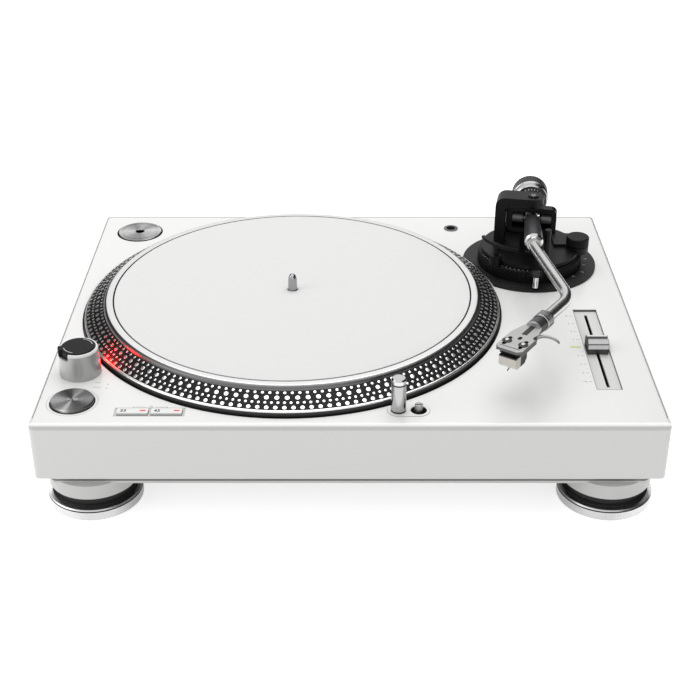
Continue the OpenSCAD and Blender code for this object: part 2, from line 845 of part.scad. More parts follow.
module cabinet_shell() color("white") difference() {
    union() {
        difference() {
            translate([0, 0, shell_z]) shell_block();
            slab(cabinet_w - 2 * wall_t, cabinet_d - 2 * wall_t, shell_z - 1, deck_z - deck_t);
        }
        shell_inside();
    }
    on_spindle() drum(well_r, -well_depth, 1);
    on_spindle() drum(motor_open_r, -well_depth - well_floor - 1, 0);
    on_deck(adapter_x, adapter_y) drum(adapter_pocket_r, adapter_floor_h, 1);
    on_deck(fader_x, fader_y) {
        slab(panel_w, panel_l, frame_top_h, 1);
        slab(panel_w - 2 * panel_ledge, panel_l - 2 * panel_ledge, frame_bottom_h - 1, 0);
    }
    for (p = post_spots) translate([p[0], p[1], 0]) drum(screw_r + fit, floor_z - 1, floor_z + screw_l);
    on_deck(start_x, start_y) drum(start_r + start_gap, -deck_t - 1, 1);
    on_deck(speed_x, speed_y) {
        slab(2 * speed_pitch + 2, speed_d + 2 * speed_pocket_rim, -speed_pocket, 1);
        for (s = [-1, 1]) translate([s * speed_pitch / 2, 0, 0])
            slab(speed_w + 2 * speed_gap, speed_d + 2 * speed_gap, -deck_t - 1, 1);
    }
    on_deck(tower_x, tower_y) drum(power_stem_r + 1, -deck_t - 1, 1);
    on_deck(lamp_x, lamp_y) {
        translate([0, 0, -lamp_pocket]) linear_extrude(3) stadium(lamp_pitch, lamp_plate_r);
        drum(lamp_sleeve_r + gap, -well_depth - well_floor - 1, 0);
        translate([lamp_pitch, 0, 0]) drum(button_cup_r + lamp_wall + gap, -well_depth - well_floor - 1, 0);
    }
    on_deck(stand_x, stand_y) drum(stand_r - stand_lip + gap / 3, -deck_t - 1, 1);
    on_pivot() drum(sleeve_r + gap, -deck_t - 1, 1);
    for (x = [jack_bay_x, mains_bay_x]) translate([x, back_y, bay_z])
        rotate([90, 0, 0]) slab(bay_w + gap, bay_h + gap, -1, wall_t + 1);
}

// Pan with a rim that goes inside the shell, and a collar over each foot
module base_tray() color("whitesmoke") difference() {
    union() {
        translate([0, 0, base_z]) linear_extrude(base_show + rim_h)
            round_rect(cabinet_w - 2 * base_inset, cabinet_d - 2 * base_inset, corner_r);
        slab(cabinet_w - 2 * (wall_t + gap), cabinet_d - 2 * (wall_t + gap), shell_z, shell_z + rim_h);
        for (p = foot_spots) translate([p[0], p[1], 0]) drum(collar_r, collar_z, base_z + 1);
    }
    slab(cabinet_w - 2 * (base_inset + base_t), cabinet_d - 2 * (base_inset + base_t), floor_z, deck_z);
    for (p = foot_spots) translate([p[0], p[1], 0]) drum(stud_r + fit, collar_z - 1, floor_z + 1);
    for (p = post_spots) translate([p[0], p[1], 0]) {
        drum(screw_r + gap, base_z - 1, floor_z + 1);
        drum(screw_head_r + gap, collar_z, base_z + screw_head_h);
    }
}

module base_screws() color("dimgray") for (p = post_spots) translate([p[0], p[1], base_z]) {
    drum(screw_head_r, 0, screw_head_h);
    drum(screw_r, screw_head_h - EPS, base_t + screw_l - 1);
}

// Foot: a metal ring under a waisted rubber damper on a threaded stud
module foot_ring(p) color("silver") translate([p[0], p[1], 0]) rotate_extrude() difference() {
    polygon([
        [0, 0], [ring_r - foot_chamfer, 0], [ring_r, foot_chamfer], [ring_r, ring_h - foot_line_low],
        [ring_r - foot_line_deep, ring_h - foot_line_low], [ring_r - foot_line_deep, ring_h - foot_line_high],
        [ring_r, ring_h - foot_line_high], [ring_r - foot_chamfer, ring_h], [0, ring_h]
    ]);
    translate([-1, ring_h - foot_recess]) square([ring_r - ring_rim + 1, foot_recess + 1]);
    translate([-1, ring_h - foot_recess - spigot_l]) square([spigot_r + fit + 1, spigot_l + 1]);
}
module foot_damper(p) color("black") translate([p[0], p[1], 0]) {
    seat_z = ring_h - foot_recess + gap;
    seat_r = ring_r - ring_rim - gap;
    rotate_extrude() polygon([
        [0, seat_z - spigot_l], [spigot_r, seat_z - spigot_l], [spigot_r, seat_z], [seat_r, seat_z],
        [seat_r, ring_h + damper_flare / 2], [damper_r, ring_h + damper_flare], [damper_r, collar_z - gap],
        [stud_r, collar_z - gap], [stud_r, floor_z + stud_rise], [0, floor_z + stud_rise]
    ]);
}

// Motor under the platter
module motor_board() color("darkgreen") on_spindle()
    pipe(motor_board_r, bearing_r + gap, motor_board_top_h - board_t, motor_board_top_h);
module stator_coils() color("peru") on_spindle() for (i = [0 : coil_count - 1])
    rotate([0, 0, 360 * i / coil_count]) translate([coil_ring_r, 0, 0])
        pipe(coil_r, coil_r / 3, motor_board_top_h, coil_top_h);
module spindle_bearing() color("darkgoldenrod") on_spindle() difference() {
    union() {
        drum(bearing_r, bearing_bottom_h, hub_bottom_h - 4);
        drum(bearing_flange_r, motor_board_top_h - board_t - bearing_flange_t, motor_board_top_h - board_t);
    }
    drum(shaft_r + fit, bearing_bottom_h + thrust_t, hub_bottom_h);
}

// Boards and power supply inside the base
module at_board_feet() for (sx = [-1, 1], sy = [-1, 1]) translate([
    sx * (main_board_w / 2 - board_foot_in),
    sy * (main_board_d / 2 - board_foot_in), 0
]) children();
module main_board() color("darkgreen")
translate([right_x - main_board_in_x, back_y - main_board_in_y, floor_z]) {
    top = board_feet + board_t;
    difference() {
        slab(main_board_w, main_board_d, board_feet, top);
        at_board_feet() drum(screw_r, 0, top + 1);
    }
    at_board_feet() pipe(post_r, screw_r, 0, board_feet);
    translate([-main_board_w / 7, 0, 0]) slab(chip_w, chip_w, top, top + chip_t);
    for (i = [0 : 2]) translate([main_board_w / 6 + capacitor_pitch * i, main_board_d / 4, 0])
        drum(capacitor_r, top, top + capacitor_h);
}
module power_supply() color("slategray") translate([left_x + supply_in_x, back_y - supply_in_y, floor_z]) {
    slab(core_w + winding_lap, core_d + supply_foot_t, 0, supply_foot_t);
    slab(core_w, core_d, supply_foot_t - EPS, core_h);
    translate([0, 0, core_yoke]) slab(core_w - winding_lap, core_d + winding_lap, 0, core_h - 2 * core_yoke);
}
module control_board() color("darkgreen") {
    board_x = (start_x + control_posts[1][0]) / 2;
    board_w = control_posts[1][0] - start_x + 2 * control_board_rim;
    difference() {
        on_deck(board_x, start_y) slab(board_w, control_board_d, control_top_h - board_t, control_top_h);
        translate([post_spots[5][0], post_spots[5][1], 0]) drum(post_r + gap, 0, deck_z + control_top_h + 1);
    }
    on_deck(start_x, start_y) slab(switch_w, switch_w, control_top_h - EPS, control_top_h + switch_h);
    for (s = [-1, 1]) on_deck(speed_x + s * speed_pitch / 2, speed_y)
        slab(small_switch_w, small_switch_w, control_top_h - EPS, control_top_h + switch_h);
}

// Pitch fader
module tempo_panel() color("gainsboro") on_deck(fader_x, fader_y) difference() {
    slab(panel_w - gap, panel_l - gap, frame_top_h, panel_top_h);
    slab(slot_w, slot_l, frame_top_h - 1, panel_top_h + 1);
}
module tempo_track() color("dimgray") on_deck(fader_x, fader_y) difference() {
    slab(panel_w + frame_wall, panel_l, frame_bottom_h - track_h, frame_bottom_h);
    slab(slot_w, slot_l, frame_bottom_h - track_h + track_floor, frame_bottom_h + 1);
}
module tempo_knob() color("silver") on_deck(fader_x, fader_y) {
    difference() {
        translate([0, 0, panel_top_h]) rotate([90, 0, 90])
        linear_extrude(fader_knob_w, center = true) polygon([
            [-fader_knob_l / 2, gap], [fader_knob_l / 2, gap], [fader_knob_l / 2, fader_knob_h - fader_slope],
            [fader_crest, fader_knob_h], [fader_dip_w / 2, fader_knob_h - fader_dip],
            [-fader_dip_w / 2, fader_knob_h - fader_dip], [-fader_crest, fader_knob_h],
            [-fader_knob_l / 2, fader_knob_h - fader_slope]
        ]);
        translate([0, 0, panel_top_h + fader_knob_h])
            slab(fader_knob_w + 1, fader_line_w, -2 * fader_dip, 0);
    }
    slab(stem_w, stem_l, frame_bottom_h - track_h + track_floor + gap, panel_top_h + gap + EPS);
}

// Pop-up lamp with its plate and its button
module lamp_plate() color("gainsboro") on_deck(lamp_x, lamp_y) difference() {
    union() {
        translate([0, 0, -lamp_pocket]) linear_extrude(lamp_plate_t)
            stadium(lamp_pitch, lamp_plate_r - gap / 2);
        drum(lamp_sleeve_r, -lamp_sleeve_l, -lamp_pocket + EPS);
        translate([lamp_pitch, 0, 0])
            drum(button_cup_r + lamp_wall, -button_cup_l - button_cup_floor, -lamp_pocket + EPS);
    }
    drum(lamp_r + fit, -lamp_sleeve_l - 1, lamp_plate_t);
    translate([lamp_pitch, 0, 0]) {
        drum(button_cup_r, -button_cup_l, lamp_plate_t);
        drum(lamp_button_r + fit, -lamp_stem_end, 0);
    }
}
module target_lamp() color("silver") on_deck(lamp_x, lamp_y) difference() {
    groove_low = lamp_rise - lamp_groove_low;
    groove_r = lamp_r - lamp_groove_deep;
    rotate_extrude() polygon([
        [0, -lamp_tail], [lamp_r, -lamp_tail], [lamp_r, groove_low], [groove_r, groove_low],
        [groove_r, groove_low + lamp_groove_w], [lamp_r, groove_low + lamp_groove_w],
        [lamp_r, lamp_rise - lamp_chamfer], [lamp_r - lamp_chamfer, lamp_rise], [0, lamp_rise]
    ]);
    rotate([0, 0, lamp_window_angle])
        translate([lamp_r - lamp_window_deep, -lamp_window_w / 2, lamp_rise - lamp_window_low])
            cube([lamp_r, lamp_window_w, lamp_window_h]);
}
module lamp_button() color("silver") on_deck(lamp_x + lamp_pitch, lamp_y) difference() {
    union() {
        drum(lamp_button_r, -lamp_stem_end, lamp_button_rise);
        drum(button_cup_r - 1, -button_cup_l + lamp_flange_low + gap, -button_cup_l + lamp_flange_high);
    }
    slab(4 * lamp_button_r, lamp_slit_w, lamp_button_rise - lamp_slit_deep, lamp_button_rise + 1);
}

// Tower with the strobe light and the power knob
module tower_outline() polygon([
    [0, 0], [tower_foot_r, 0], [tower_top_r, tower_h - tower_edge],
    [tower_top_r - tower_edge * 0.6, tower_h], [0, tower_h]
]);
module lens_wedge(side) rotate([0, 0, lens_angle])
    translate([power_r + gap + fit, -lens_w / 2 - side, lens_low - side])
        cube([tower_foot_r, lens_w + 2 * side, lens_high - lens_low + 2 * side]);
module strobe_tower() color("whitesmoke") on_deck(tower_x, tower_y) difference() {
    rotate_extrude() tower_outline();
    drum(power_r + gap, tower_cup_h, tower_h + 1);
    drum(power_stem_r + fit, -1, tower_h);
    rotate([0, 0, tab_angle - tab_half - 2]) rotate_extrude(angle = power_turn + 2 * tab_half + 4)
        translate([power_r - 1, tower_h + power_rise - tab_drop - gap]) square([10, tab_drop + 2]);
    lens_wedge(fit);
}
module strobe_lens() color("red") on_deck(tower_x, tower_y) intersection() {
    rotate_extrude() translate([-fit, 0]) intersection() {
        tower_outline();
        translate([power_r + gap + 2 * fit, 0]) square([lens_t + 9, tower_h]);
    }
    lens_wedge(0);
}
module power_knob() color("black") on_deck(tower_x, tower_y) {
    rotate_extrude() polygon([
        [0, knob_floor_h], [power_r, knob_floor_h], [power_r, tower_h + power_rise - 0.6],
        [power_r - 0.6, tower_h + power_rise], [0, tower_h + power_rise]
    ]);
    intersection() {
        rotate([0, 0, tab_angle]) translate([power_r - tab_root, -tab_w / 2, tower_h + power_rise - tab_drop])
            cube([2 * tab_root, tab_w, tab_drop]);
        drum(tower_top_r + tab_out, 0, tower_h + power_rise);
    }
    drum(power_stem_r, control_top_h + switch_h, knob_floor_h + EPS);
}

// Buttons at the front left
module start_button() color("silver") on_deck(start_x, start_y) {
    rotate_extrude() polygon([
        [0, button_flange_low_h], [start_r + start_gap + flange_lap, button_flange_low_h],
        [start_r + start_gap + flange_lap, button_flange_top_h], [start_r, button_flange_top_h],
        [start_r, start_rise - start_chamfer], [start_r - start_chamfer, start_rise], [0, start_rise]
    ]);
    drum(start_stem_r, button_stem_end_h, button_flange_low_h + EPS);
}
module speed_button(side) color("whitesmoke") on_deck(speed_x + side * speed_pitch / 2, speed_y) {
    slab(speed_w, speed_d, button_flange_top_h - EPS, speed_rise);
    slab(speed_w, speed_d + 2 * (speed_gap + flange_lap), button_flange_low_h, button_flange_top_h);
    drum(speed_stem_r, button_stem_end_h, button_flange_low_h + EPS);
}

// Loose pieces on the deck
module adapter_45() color("silver") on_deck(adapter_x, adapter_y) rotate_extrude() difference() {
    low = adapter_rise - adapter_h;
    polygon([
        [adapter_bore_r, low], [adapter_r - adapter_edge, low], [adapter_r, low + adapter_edge],
        [adapter_r, adapter_rise - adapter_edge], [adapter_r - adapter_edge, adapter_rise],
        [adapter_bore_r + adapter_edge, adapter_rise], [adapter_bore_r, adapter_rise - adapter_edge]
    ]);
    translate([adapter_r - adapter_line_in, adapter_rise - adapter_line_deep]) square([adapter_line_w, 1]);
}
module shell_stand() color("darkgray") on_deck(stand_x, stand_y) difference() {
    union() {
        drum(stand_r, 0, stand_lip_t);
        drum(stand_r - stand_lip, -stand_depth - stand_floor, EPS);
    }
    drum(stand_bore_r, stand_lip_t - stand_depth, 1);
}

// Platter: a casting with a lip, a sloping strobe band, a bright rim and ribs underneath
module platter() color("gainsboro") on_spindle() {
    rotate_extrude() polygon(concat(
        [
            [shaft_r + fit, hub_bottom_h], [shaft_r + fit, mat_seat_h], [mat_r + mat_gap, mat_seat_h],
            [mat_r + mat_gap, lip_h - lip_edge], [mat_r + mat_gap + lip_edge, lip_h]
        ],
        arc([lip_r - lip_round, lip_h - lip_round], lip_round, 90, 0, 6),
        arc([platter_r - rim_round, strobe_foot_h - rim_round], rim_round, 90, 0, 4),
        [
            [platter_r, skirt_bottom_h + 1], [platter_r - 1, skirt_bottom_h],
            [platter_r - skirt_t, skirt_bottom_h], [platter_r - skirt_t, strobe_foot_h - platter_t + 1.6],
            [lip_r - 1, strobe_top_h - platter_t], [lip_r - 6, under_h],
            [hub_r, under_h], [hub_r, hub_bottom_h]
        ]
    ));
    for (i = [0 : rib_count - 1]) rotate([0, 0, 360 * i / rib_count])
        translate([rib_start_r, -rib_t / 2, under_h - rib_h])
            cube([lip_r - 7 - rib_start_r, rib_t, rib_h + EPS]);
}
module rotor_magnet() color("dimgray") on_spindle()
    pipe(magnet_in_r + magnet_w, magnet_in_r, under_h - magnet_h, under_h);
module spindle() color("silver") on_spindle() rotate_extrude() polygon(concat(
    [
        [0, bearing_bottom_h + thrust_t + gap], [shaft_r, bearing_bottom_h + thrust_t + gap],
        [shaft_r, mat_seat_h], [pin_r + pin_step, mat_seat_h],
        [pin_r + pin_step, pin_foot_h], [pin_r, pin_foot_h]
    ],
    [
        for (i = [0 : 5]) let (a = 15 * i)
            [pin_r * cos(a) + 0.06 * i, pin_foot_h + pin_straight + pin_tip * sin(a)]
    ],
    [[0, pin_foot_h + pin_straight + pin_tip]]
));
module slipmat() color("whitesmoke") on_spindle()
    pipe(mat_r, pin_r + pin_step + gap, mat_seat_h + gap / 3, mat_top_h);

// Arm base: a flange with a sleeve, a ring that turns on it and a drum that rises in it
module arm_flange() color("black") difference() {
    on_pivot() {
        drum(flange_r, 0, flange_t);
        drum(sleeve_r, -sleeve_l, sleeve_l);
    }
    on_pivot() drum(drum_r + fit, -sleeve_l - 1, sleeve_l + 1);
    on_spindle() drum(well_r + 1, -1, flange_t + 1);
}
module height_ring() color("black") on_pivot() difference() {
    rotate_extrude() polygon([
        [sleeve_r + fit, ring_low_h], [height_r, ring_low_h], [height_r, ring_top_h - 1],
        [height_r - 1, ring_top_h], [sleeve_r + fit, ring_top_h]
    ]);
    grooves(height_grooves, height_r + 0.4, 0.9, ring_low_h + 3, ring_top_h + 1);
}
module arm_base() color("black") difference() {
    union() {
        on_pivot() {
            drum(drum_r, drum_bottom_h, platform_low_h + EPS);
            drum(platform_r, platform_low_h, platform_top_h);
            drum(seat_r, platform_top_h - EPS, seat_top_h);
            translate([skate_block_root, skate_block_shift - skate_block_w / 2, platform_low_h])
                cube([skate_x - skate_block_root, skate_block_w, skate_block_top - platform_low_h]);
            translate([skate_x, skate_y, 0]) drum(skate_r, platform_low_h, skate_block_top);
        }
        on_base() {
            translate([lift_spot[0], lift_spot[1], 0]) drum(lift_boss_r, platform_low_h, lift_boss_top_h);
            lever_bracket();
        }
    }
    on_pivot() drum(pivot_r + fit, seat_top_h - pivot_pin_l - 1, seat_top_h + 1);
    on_pivot() translate([skate_x, skate_y, skate_block_top])
        drum(skate_stem_r + fit, -skate_stem_l - gap, 1);
    on_base() translate([lift_spot[0], lift_spot[1], 0])
        drum(lift_rod_r + fit, platform_low_h + 1, lift_boss_top_h + 1);
    on_base() translate([lever_x, lever_y, lever_z]) along_y() drum(pivot_r + fit, -9, 9);
}
// Two ears in front of the ring for the cue lever
module lever_bracket() {
    ear_in = lever_hub_w / 2 + gap;
    ear_r = lever_hub_r;
    root_x = lever_x - ear_r - 2 * gap;
    translate([root_x - 12, lever_y - ear_in - ear_t, platform_low_h])
        cube([12, 2 * (ear_in + ear_t), platform_t]);
    for (s = [-1, 1]) translate([0, lever_y + s * (ear_in + ear_t / 2), 0]) {
        translate([lever_x, 0, lever_z]) along_y() drum(ear_r, -ear_t / 2, ear_t / 2);
        translate([root_x - 1, -ear_t / 2, platform_low_h]) cube([lever_x - root_x + 1, ear_t, platform_t]);
    }
}
module anti_skate_knob() color("black") on_pivot() translate([skate_x, skate_y, 0]) {
    difference() {
        rotate_extrude() polygon([
            [0, skate_block_top + gap], [skate_r - 0.6, skate_block_top + gap],
            [skate_r, skate_block_top + gap + 0.6], [skate_r, skate_top - 0.8], [skate_r - 0.8, skate_top],
            [0, skate_top]
        ]);
        grooves(skate_grooves, skate_r + 0.3, 0.7, skate_block_top + 2, skate_top + 1);
    }
    drum(skate_stem_r, skate_block_top - skate_stem_l, skate_block_top + gap + EPS);
}

// Cueing: an arc under the arm on a rod, and the lever that raises it
module lift_bar() color("dimgray") on_base() {
    translate([0, 0, arm_h + lift_top - lift_t]) rotate([0, 0, lift_start - lift_sweep])
        rotate_extrude(angle = lift_sweep) translate([lift_arc_r - lift_t / 2, 0]) square(lift_t);
    translate([lift_spot[0], lift_spot[1], 0]) drum(lift_rod_r, platform_low_h + 2, arm_h + lift_top - EPS);
}
module cue_lever() color("silver") on_base() translate([lever_x, lever_y, lever_z]) {
    along_y() drum(lever_hub_r, -lever_hub_w / 2, lever_hub_w / 2);
    along_y() drum(pivot_r, -lever_hub_w / 2 - gap - ear_t, lever_hub_w / 2 + gap + ear_t);
    rotate([0, lever_drop, 0]) along_x() {
        drum(lever_r - 1, 0, lever_l - 8);
        drum(lever_r, lever_l - 9, lever_l);
    }
}
// Post with an open hook under the hub
module arm_rest() color("black") on_base() {
    cradle_top_h = arm_h + lift_top;
    translate([rest_x, rest_y, 0]) drum(rest_r, platform_top_h, arm_h + rest_top);
    translate([rest_x - rest_r, -2, cradle_top_h - 3]) cube([2 * rest_r, rest_y + 2, 3]);
}

// Gimbal: a fixed bracket, a yoke that swings in it and an axle across the yoke
// Side view of the bracket: a column and an upper arm with a round shoulder outside and a fillet inside
module bracket_side() {
    top = arm_h + bracket_up;
    low = arm_h + bracket_low;
    translate([bracket_out_y, platform_top_h]) square([column_w, top - shoulder_r - platform_top_h]);
    translate([bracket_out_y + shoulder_r, low]) square([-bracket_out_y - shoulder_r, bracket_t]);
    intersection() {
        translate([bracket_out_y + shoulder_r, top - shoulder_r]) circle(shoulder_r);
        translate([bracket_out_y, low - fillet_r]) square([column_w + fillet_r, bracket_t + fillet_r]);
    }
    difference() {
        translate([bracket_in_y - EPS, low - fillet_r]) square(fillet_r + EPS);
        translate([bracket_in_y + fillet_r, low - fillet_r]) circle(fillet_r);
    }
}
module gimbal_bracket() color("black") difference() {
    on_base() {
        rotate([90, 0, 90]) linear_extrude(2 * column_d, center = true) bracket_side();
        translate([0, 0, arm_h + bracket_low]) drum(column_d, 0, bracket_t);
    }
    on_arm() drum(pivot_r + fit, bracket_low - 1, bracket_low + pivot_pin_l - gap);
    on_arm() drum(bracket_screw_r, bracket_low + pivot_pin_l, bracket_up + 1);
}
module pivot_screw() color("silver") on_arm() difference() {
    union() {
        drum(bracket_screw_head_r, bracket_up, bracket_up + bracket_screw_head_h);
        drum(bracket_screw_r - fit, bracket_low + pivot_pin_l + fit, bracket_up + EPS);
    }
    slab(3 * bracket_screw_head_r, 1, bracket_up + bracket_screw_head_h / 2, bracket_up + 2);
}
module gimbal_yoke() color("black") on_arm() difference() {
    union() {
        rotate([90, 0, 90]) linear_extrude(2 * yoke_d, center = true) difference() {
            translate([0, (yoke_up - yoke_down) / 2]) round_rect(2 * yoke_w, yoke_up + yoke_down, 5);
            translate([0, (yoke_top_in - yoke_low_in) / 2])
                round_rect(2 * (yoke_w - yoke_t), yoke_top_in + yoke_low_in, 2);
        }
        drum(pivot_r, yoke_up - EPS, bracket_low + pivot_pin_l - 1);
        drum(pivot_r, seat_top_h - arm_h - pivot_pin_l, EPS - yoke_down);
    }
    along_y() drum(pivot_r + fit, -axle_l - 0.1, axle_l + 0.1);
}
module pivot_axle() color("gray") on_arm() along_y() {
    drum(pivot_r, -axle_l, axle_l);
    for (s = [0, 180]) rotate([s, 0, 0]) drum(boss_r, hub_back_r + boss_gap, yoke_w - yoke_t - gap);
}

// Arm: a flared hub on the axle, the S-shaped tube in front and the rod for the weight behind
module arm_hub() color("dimgray") difference() {
    on_hub() along_x() rotate_extrude() polygon([
        [0, -stub_l], [stub_r, -stub_l], [stub_r, -stub_end], [hub_waist_r, 1 - stub_end],
        [hub_waist_r, yoke_d + hub_step], [hub_back_r, yoke_d + hub_flare_start],
        [hub_front_r, hub_l - hub_flare_end], [hub_front_r, hub_l - hub_chamfer],
        [hub_front_r - hub_chamfer, hub_l], [0, hub_l]
    ]);
    on_hub() along_x() drum(tube_r + fit, hub_l - tube_in - 2 * bend_lap, hub_l + 1);
    on_arm() along_y() drum(pivot_r + fit, -yoke_w, yoke_w);
}
// Length of round tube along x, hollow
module tube_run(l) along_x() pipe(tube_r, tube_r - tube_t, -bend_lap, l + bend_lap);
// Quarter of a hollow ring that turns left or right, starting at the origin along x
module tube_bend(r, angle) {
    side = angle > 0 ? 1 : -1;
    translate([0, side * r, 0]) rotate([0, 0, side > 0 ? -90 : 90 + angle])
        rotate_extrude(angle = abs(angle)) translate([r, 0]) difference() {
            circle(tube_r - bend_thin);
            circle(tube_r - tube_t + bend_thin);
        }
}
// Moves to the far end of a bend
module past_bend(r, angle) {
    side = angle > 0 ? 1 : -1;
    translate([r * sin(abs(angle)), side * r * (1 - cos(angle)), 0]) rotate([0, 0, angle]) children();
}
module arm_tube() color("silver") on_hub() {
    along_x() pipe(ferrule_r, tube_r - tube_t / 2, hub_l, hub_l + ferrule_l - 1);
    translate([hub_l - tube_in, 0, 0]) tube_run(tube_in + ferrule_l);
    translate([tube_straight, 0, 0]) {
        tube_bend(first_bend_r, tube_angle - hub_angle);
        past_bend(first_bend_r, tube_angle - hub_angle) {
            tube_run(first_run);
            translate([first_run, 0, 0]) {
                tube_bend(large_bend_r, -tube_angle - offset_angle);
                past_bend(large_bend_r, -tube_angle - offset_angle) tube_run(last_run - tube_back);
            }
        }
    }
}
module weight_bush() color("dimgray") on_hub() along_x()
    pipe(bush_r, stub_r + fit, -weight_end, -dial_start);
module counterweight() color("black") on_hub() along_x() difference() {
    translate([0, 0, -weight_end]) rotate_extrude() polygon([
        [bush_r + fit, 0], [weight_r - 1.5, 0], [weight_r, 1.5], [weight_r, weight_l - band_l],
        [weight_r - band_step, weight_l - band_l + band_step], [weight_r - band_step, weight_l - 1],
        [weight_r - band_step - 1, weight_l], [bush_r + fit, weight_l]
    ]);
    translate([0, 0, -weight_end])
        grooves(weight_grooves, weight_r + 0.3, 0.8, -1, weight_l - band_l - band_step);
}
module tracking_dial() color("black") on_hub() along_x() translate([0, 0, -dial_end])
    rotate_extrude() polygon([
        [bush_r + fit, 0], [dial_r, 0], [dial_r, dial_l - 2.4], [dial_r - 1.6, dial_l], [bush_r + fit, dial_l]
    ]);

// Headshell with its collar nut, cartridge and stylus
module collar_nut() color("silver") on_shell() along_x() difference() {
    rotate_extrude() polygon([
        [tube_r + fit, -nut_l - 1], [nut_r - 1, -nut_l - 1], [nut_r, -nut_l], [nut_r, -1.6],
        [nut_r - 0.6, -1], [tube_r + fit, -1]
    ]);
    grooves(nut_grooves, nut_r + 0.3, 0.6, -nut_l + 1, -2.6);
}
module shell_plan() polygon([
    for (s = [-1, 1]) for (p = s < 0 ? shell_edge : [for (i = [len(shell_edge) - 1 : -1 : 0]) shell_edge[i]])
        [p[0], s * p[1]]
]);
module headshell() color("silver") on_shell() difference() {
    union() {
        translate([0, 0, shell_low]) linear_extrude(shell_t) shell_plan();
        along_x() drum(shell_back_w / 2, 0, shell_neck + 2);
        along_x() drum(plug_r, -plug_l, 1);
        for (s = [-1, 1]) translate([shell_neck + shell_flare, s * (shell_w - shell_wall) / 2, 0])
            translate([0, -shell_wall / 2, skirt_low])
                cube([skirt_l, shell_wall, shell_low - skirt_low + EPS]);
    }
    for (s = [-1, 1]) translate([screw_x - screw_slot_l / 2, s * screw_pitch / 2, shell_low - 1])
        linear_extrude(shell_t + 2) stadium(screw_slot_l, slot_r);
    translate([long_slot_x, 0, 0]) linear_extrude(2 * shell_back_w, center = true)
        stadium(long_slot_l, long_slot_r);
    translate([oval_x, 0, shell_low - 1]) linear_extrude(shell_t + 2) stadium(oval_l, oval_r);
}
// Finger lift: a bent rod from the shell's right side
module finger_lift() color("silver") on_shell()
    translate([finger_x, shell_w / 2 + gap, shell_low + shell_t / 2])
    rotate([-finger_droop, 0, 0]) {
        rotate([0, 0, 90]) along_x() drum(finger_r, 0, finger_run);
        translate([-finger_bend_r, finger_run, 0]) rotate_extrude(angle = finger_sweep)
            translate([finger_bend_r, 0]) circle(finger_r);
    }
module cartridge() color("antiquewhite") on_shell() {
    body_h = shell_low - mount_h - cart_low;
    translate([cart_back, -cart_w / 2, shell_low - mount_h]) cube([cart_l - cart_step, cart_w, mount_h]);
    translate([cart_back, 0, cart_low]) rotate([90, 0, 0]) linear_extrude(cart_w - 2, center = true) polygon([
        [0, cart_step], [cart_step, 0], [cart_l - cart_bevel, 0], [cart_l, cart_bevel],
        [cart_l, body_h], [0, body_h]
    ]);
    for (s = [-1, 1], i = [0, 1])
        translate([cart_back, s * cart_pin_y, cart_low + cart_pin_h + i * cart_pin_pitch])
            rotate([0, -90, 0]) cylinder(r = cart_pin_r, h = cart_pin_l);
}
module stylus() color("black") on_shell() {
    block_l = cart_l - stylus_block_in - 4;
    translate([cart_back + stylus_block_in, -stylus_block_w / 2, cart_low - stylus_block_t])
        cube([block_l, stylus_block_w, stylus_block_t]);
    translate([shell_reach - cantilever_root, 0, cart_low - stylus_block_t / 2])
        rotate([0, cantilever_angle, 0]) cylinder(r = cantilever_r, h = cantilever_l);
    translate([shell_reach, 0, -stylus_drop]) cylinder(r1 = EPS, r2 = tip_r, h = tip_h);
}

// Bays at the back with the output jacks and the mains inlet
module bay(x) translate([x, 0, bay_z]) difference() {
    translate([0, bay_face_y - bay_t, 0]) along_y() slab(bay_w, bay_h, 0, bay_d + bay_t);
    translate([0, bay_face_y, 0]) along_y() slab(bay_w - 2 * bay_t, bay_h - 2 * bay_t, 0, bay_d + 1);
}
module rear_bays() color("black") difference() {
    for (x = [jack_bay_x, mains_bay_x]) bay(x);
    for (p = jack_spots) translate([p, bay_face_y, bay_z]) along_y() drum(jack_r + gap, -bay_t - 1, 1);
    translate([mains_bay_x, bay_face_y, bay_z]) along_y()
        linear_extrude(2 * bay_t + 2, center = true) inlet_outline(inlet_r + inlet_wall + gap / 3);
}
module output_jacks() color("gold") for (i = [0 : 2])
translate([jack_spots[i], bay_face_y, bay_z]) along_y() {
    difference() {
        union() {
            drum(jack_flange_r, 0, jack_flange_t);
            drum(jack_r, -bay_t - 6, i < 2 ? jack_l : ground_nut_start);
        }
        if (i < 2) drum(jack_bore_r, jack_l - jack_bore_l, jack_l + 1);
    }
    if (i == 2) drum(ground_nut_r, ground_nut_start - EPS, jack_l);
}
module inlet_outline(r) translate([-inlet_pitch / 2, 0]) stadium(inlet_pitch, r);
module mains_inlet() color("black") translate([mains_bay_x, bay_face_y, bay_z]) along_y() {
    difference() {
        union() {
            linear_extrude(inlet_face_t) inlet_outline(inlet_r + inlet_lip);
            translate([0, 0, -inlet_d - 1]) linear_extrude(inlet_d + 1 + EPS)
                inlet_outline(inlet_r + inlet_wall);
        }
        translate([0, 0, inlet_face_t - inlet_d]) linear_extrude(inlet_d + 1) inlet_outline(inlet_r);
    }
    for (s = [-1, 1]) translate([s * inlet_pitch / 2, 0, 0])
        drum(inlet_pin_r, inlet_face_t - inlet_d - EPS, -inlet_pin_back);
}

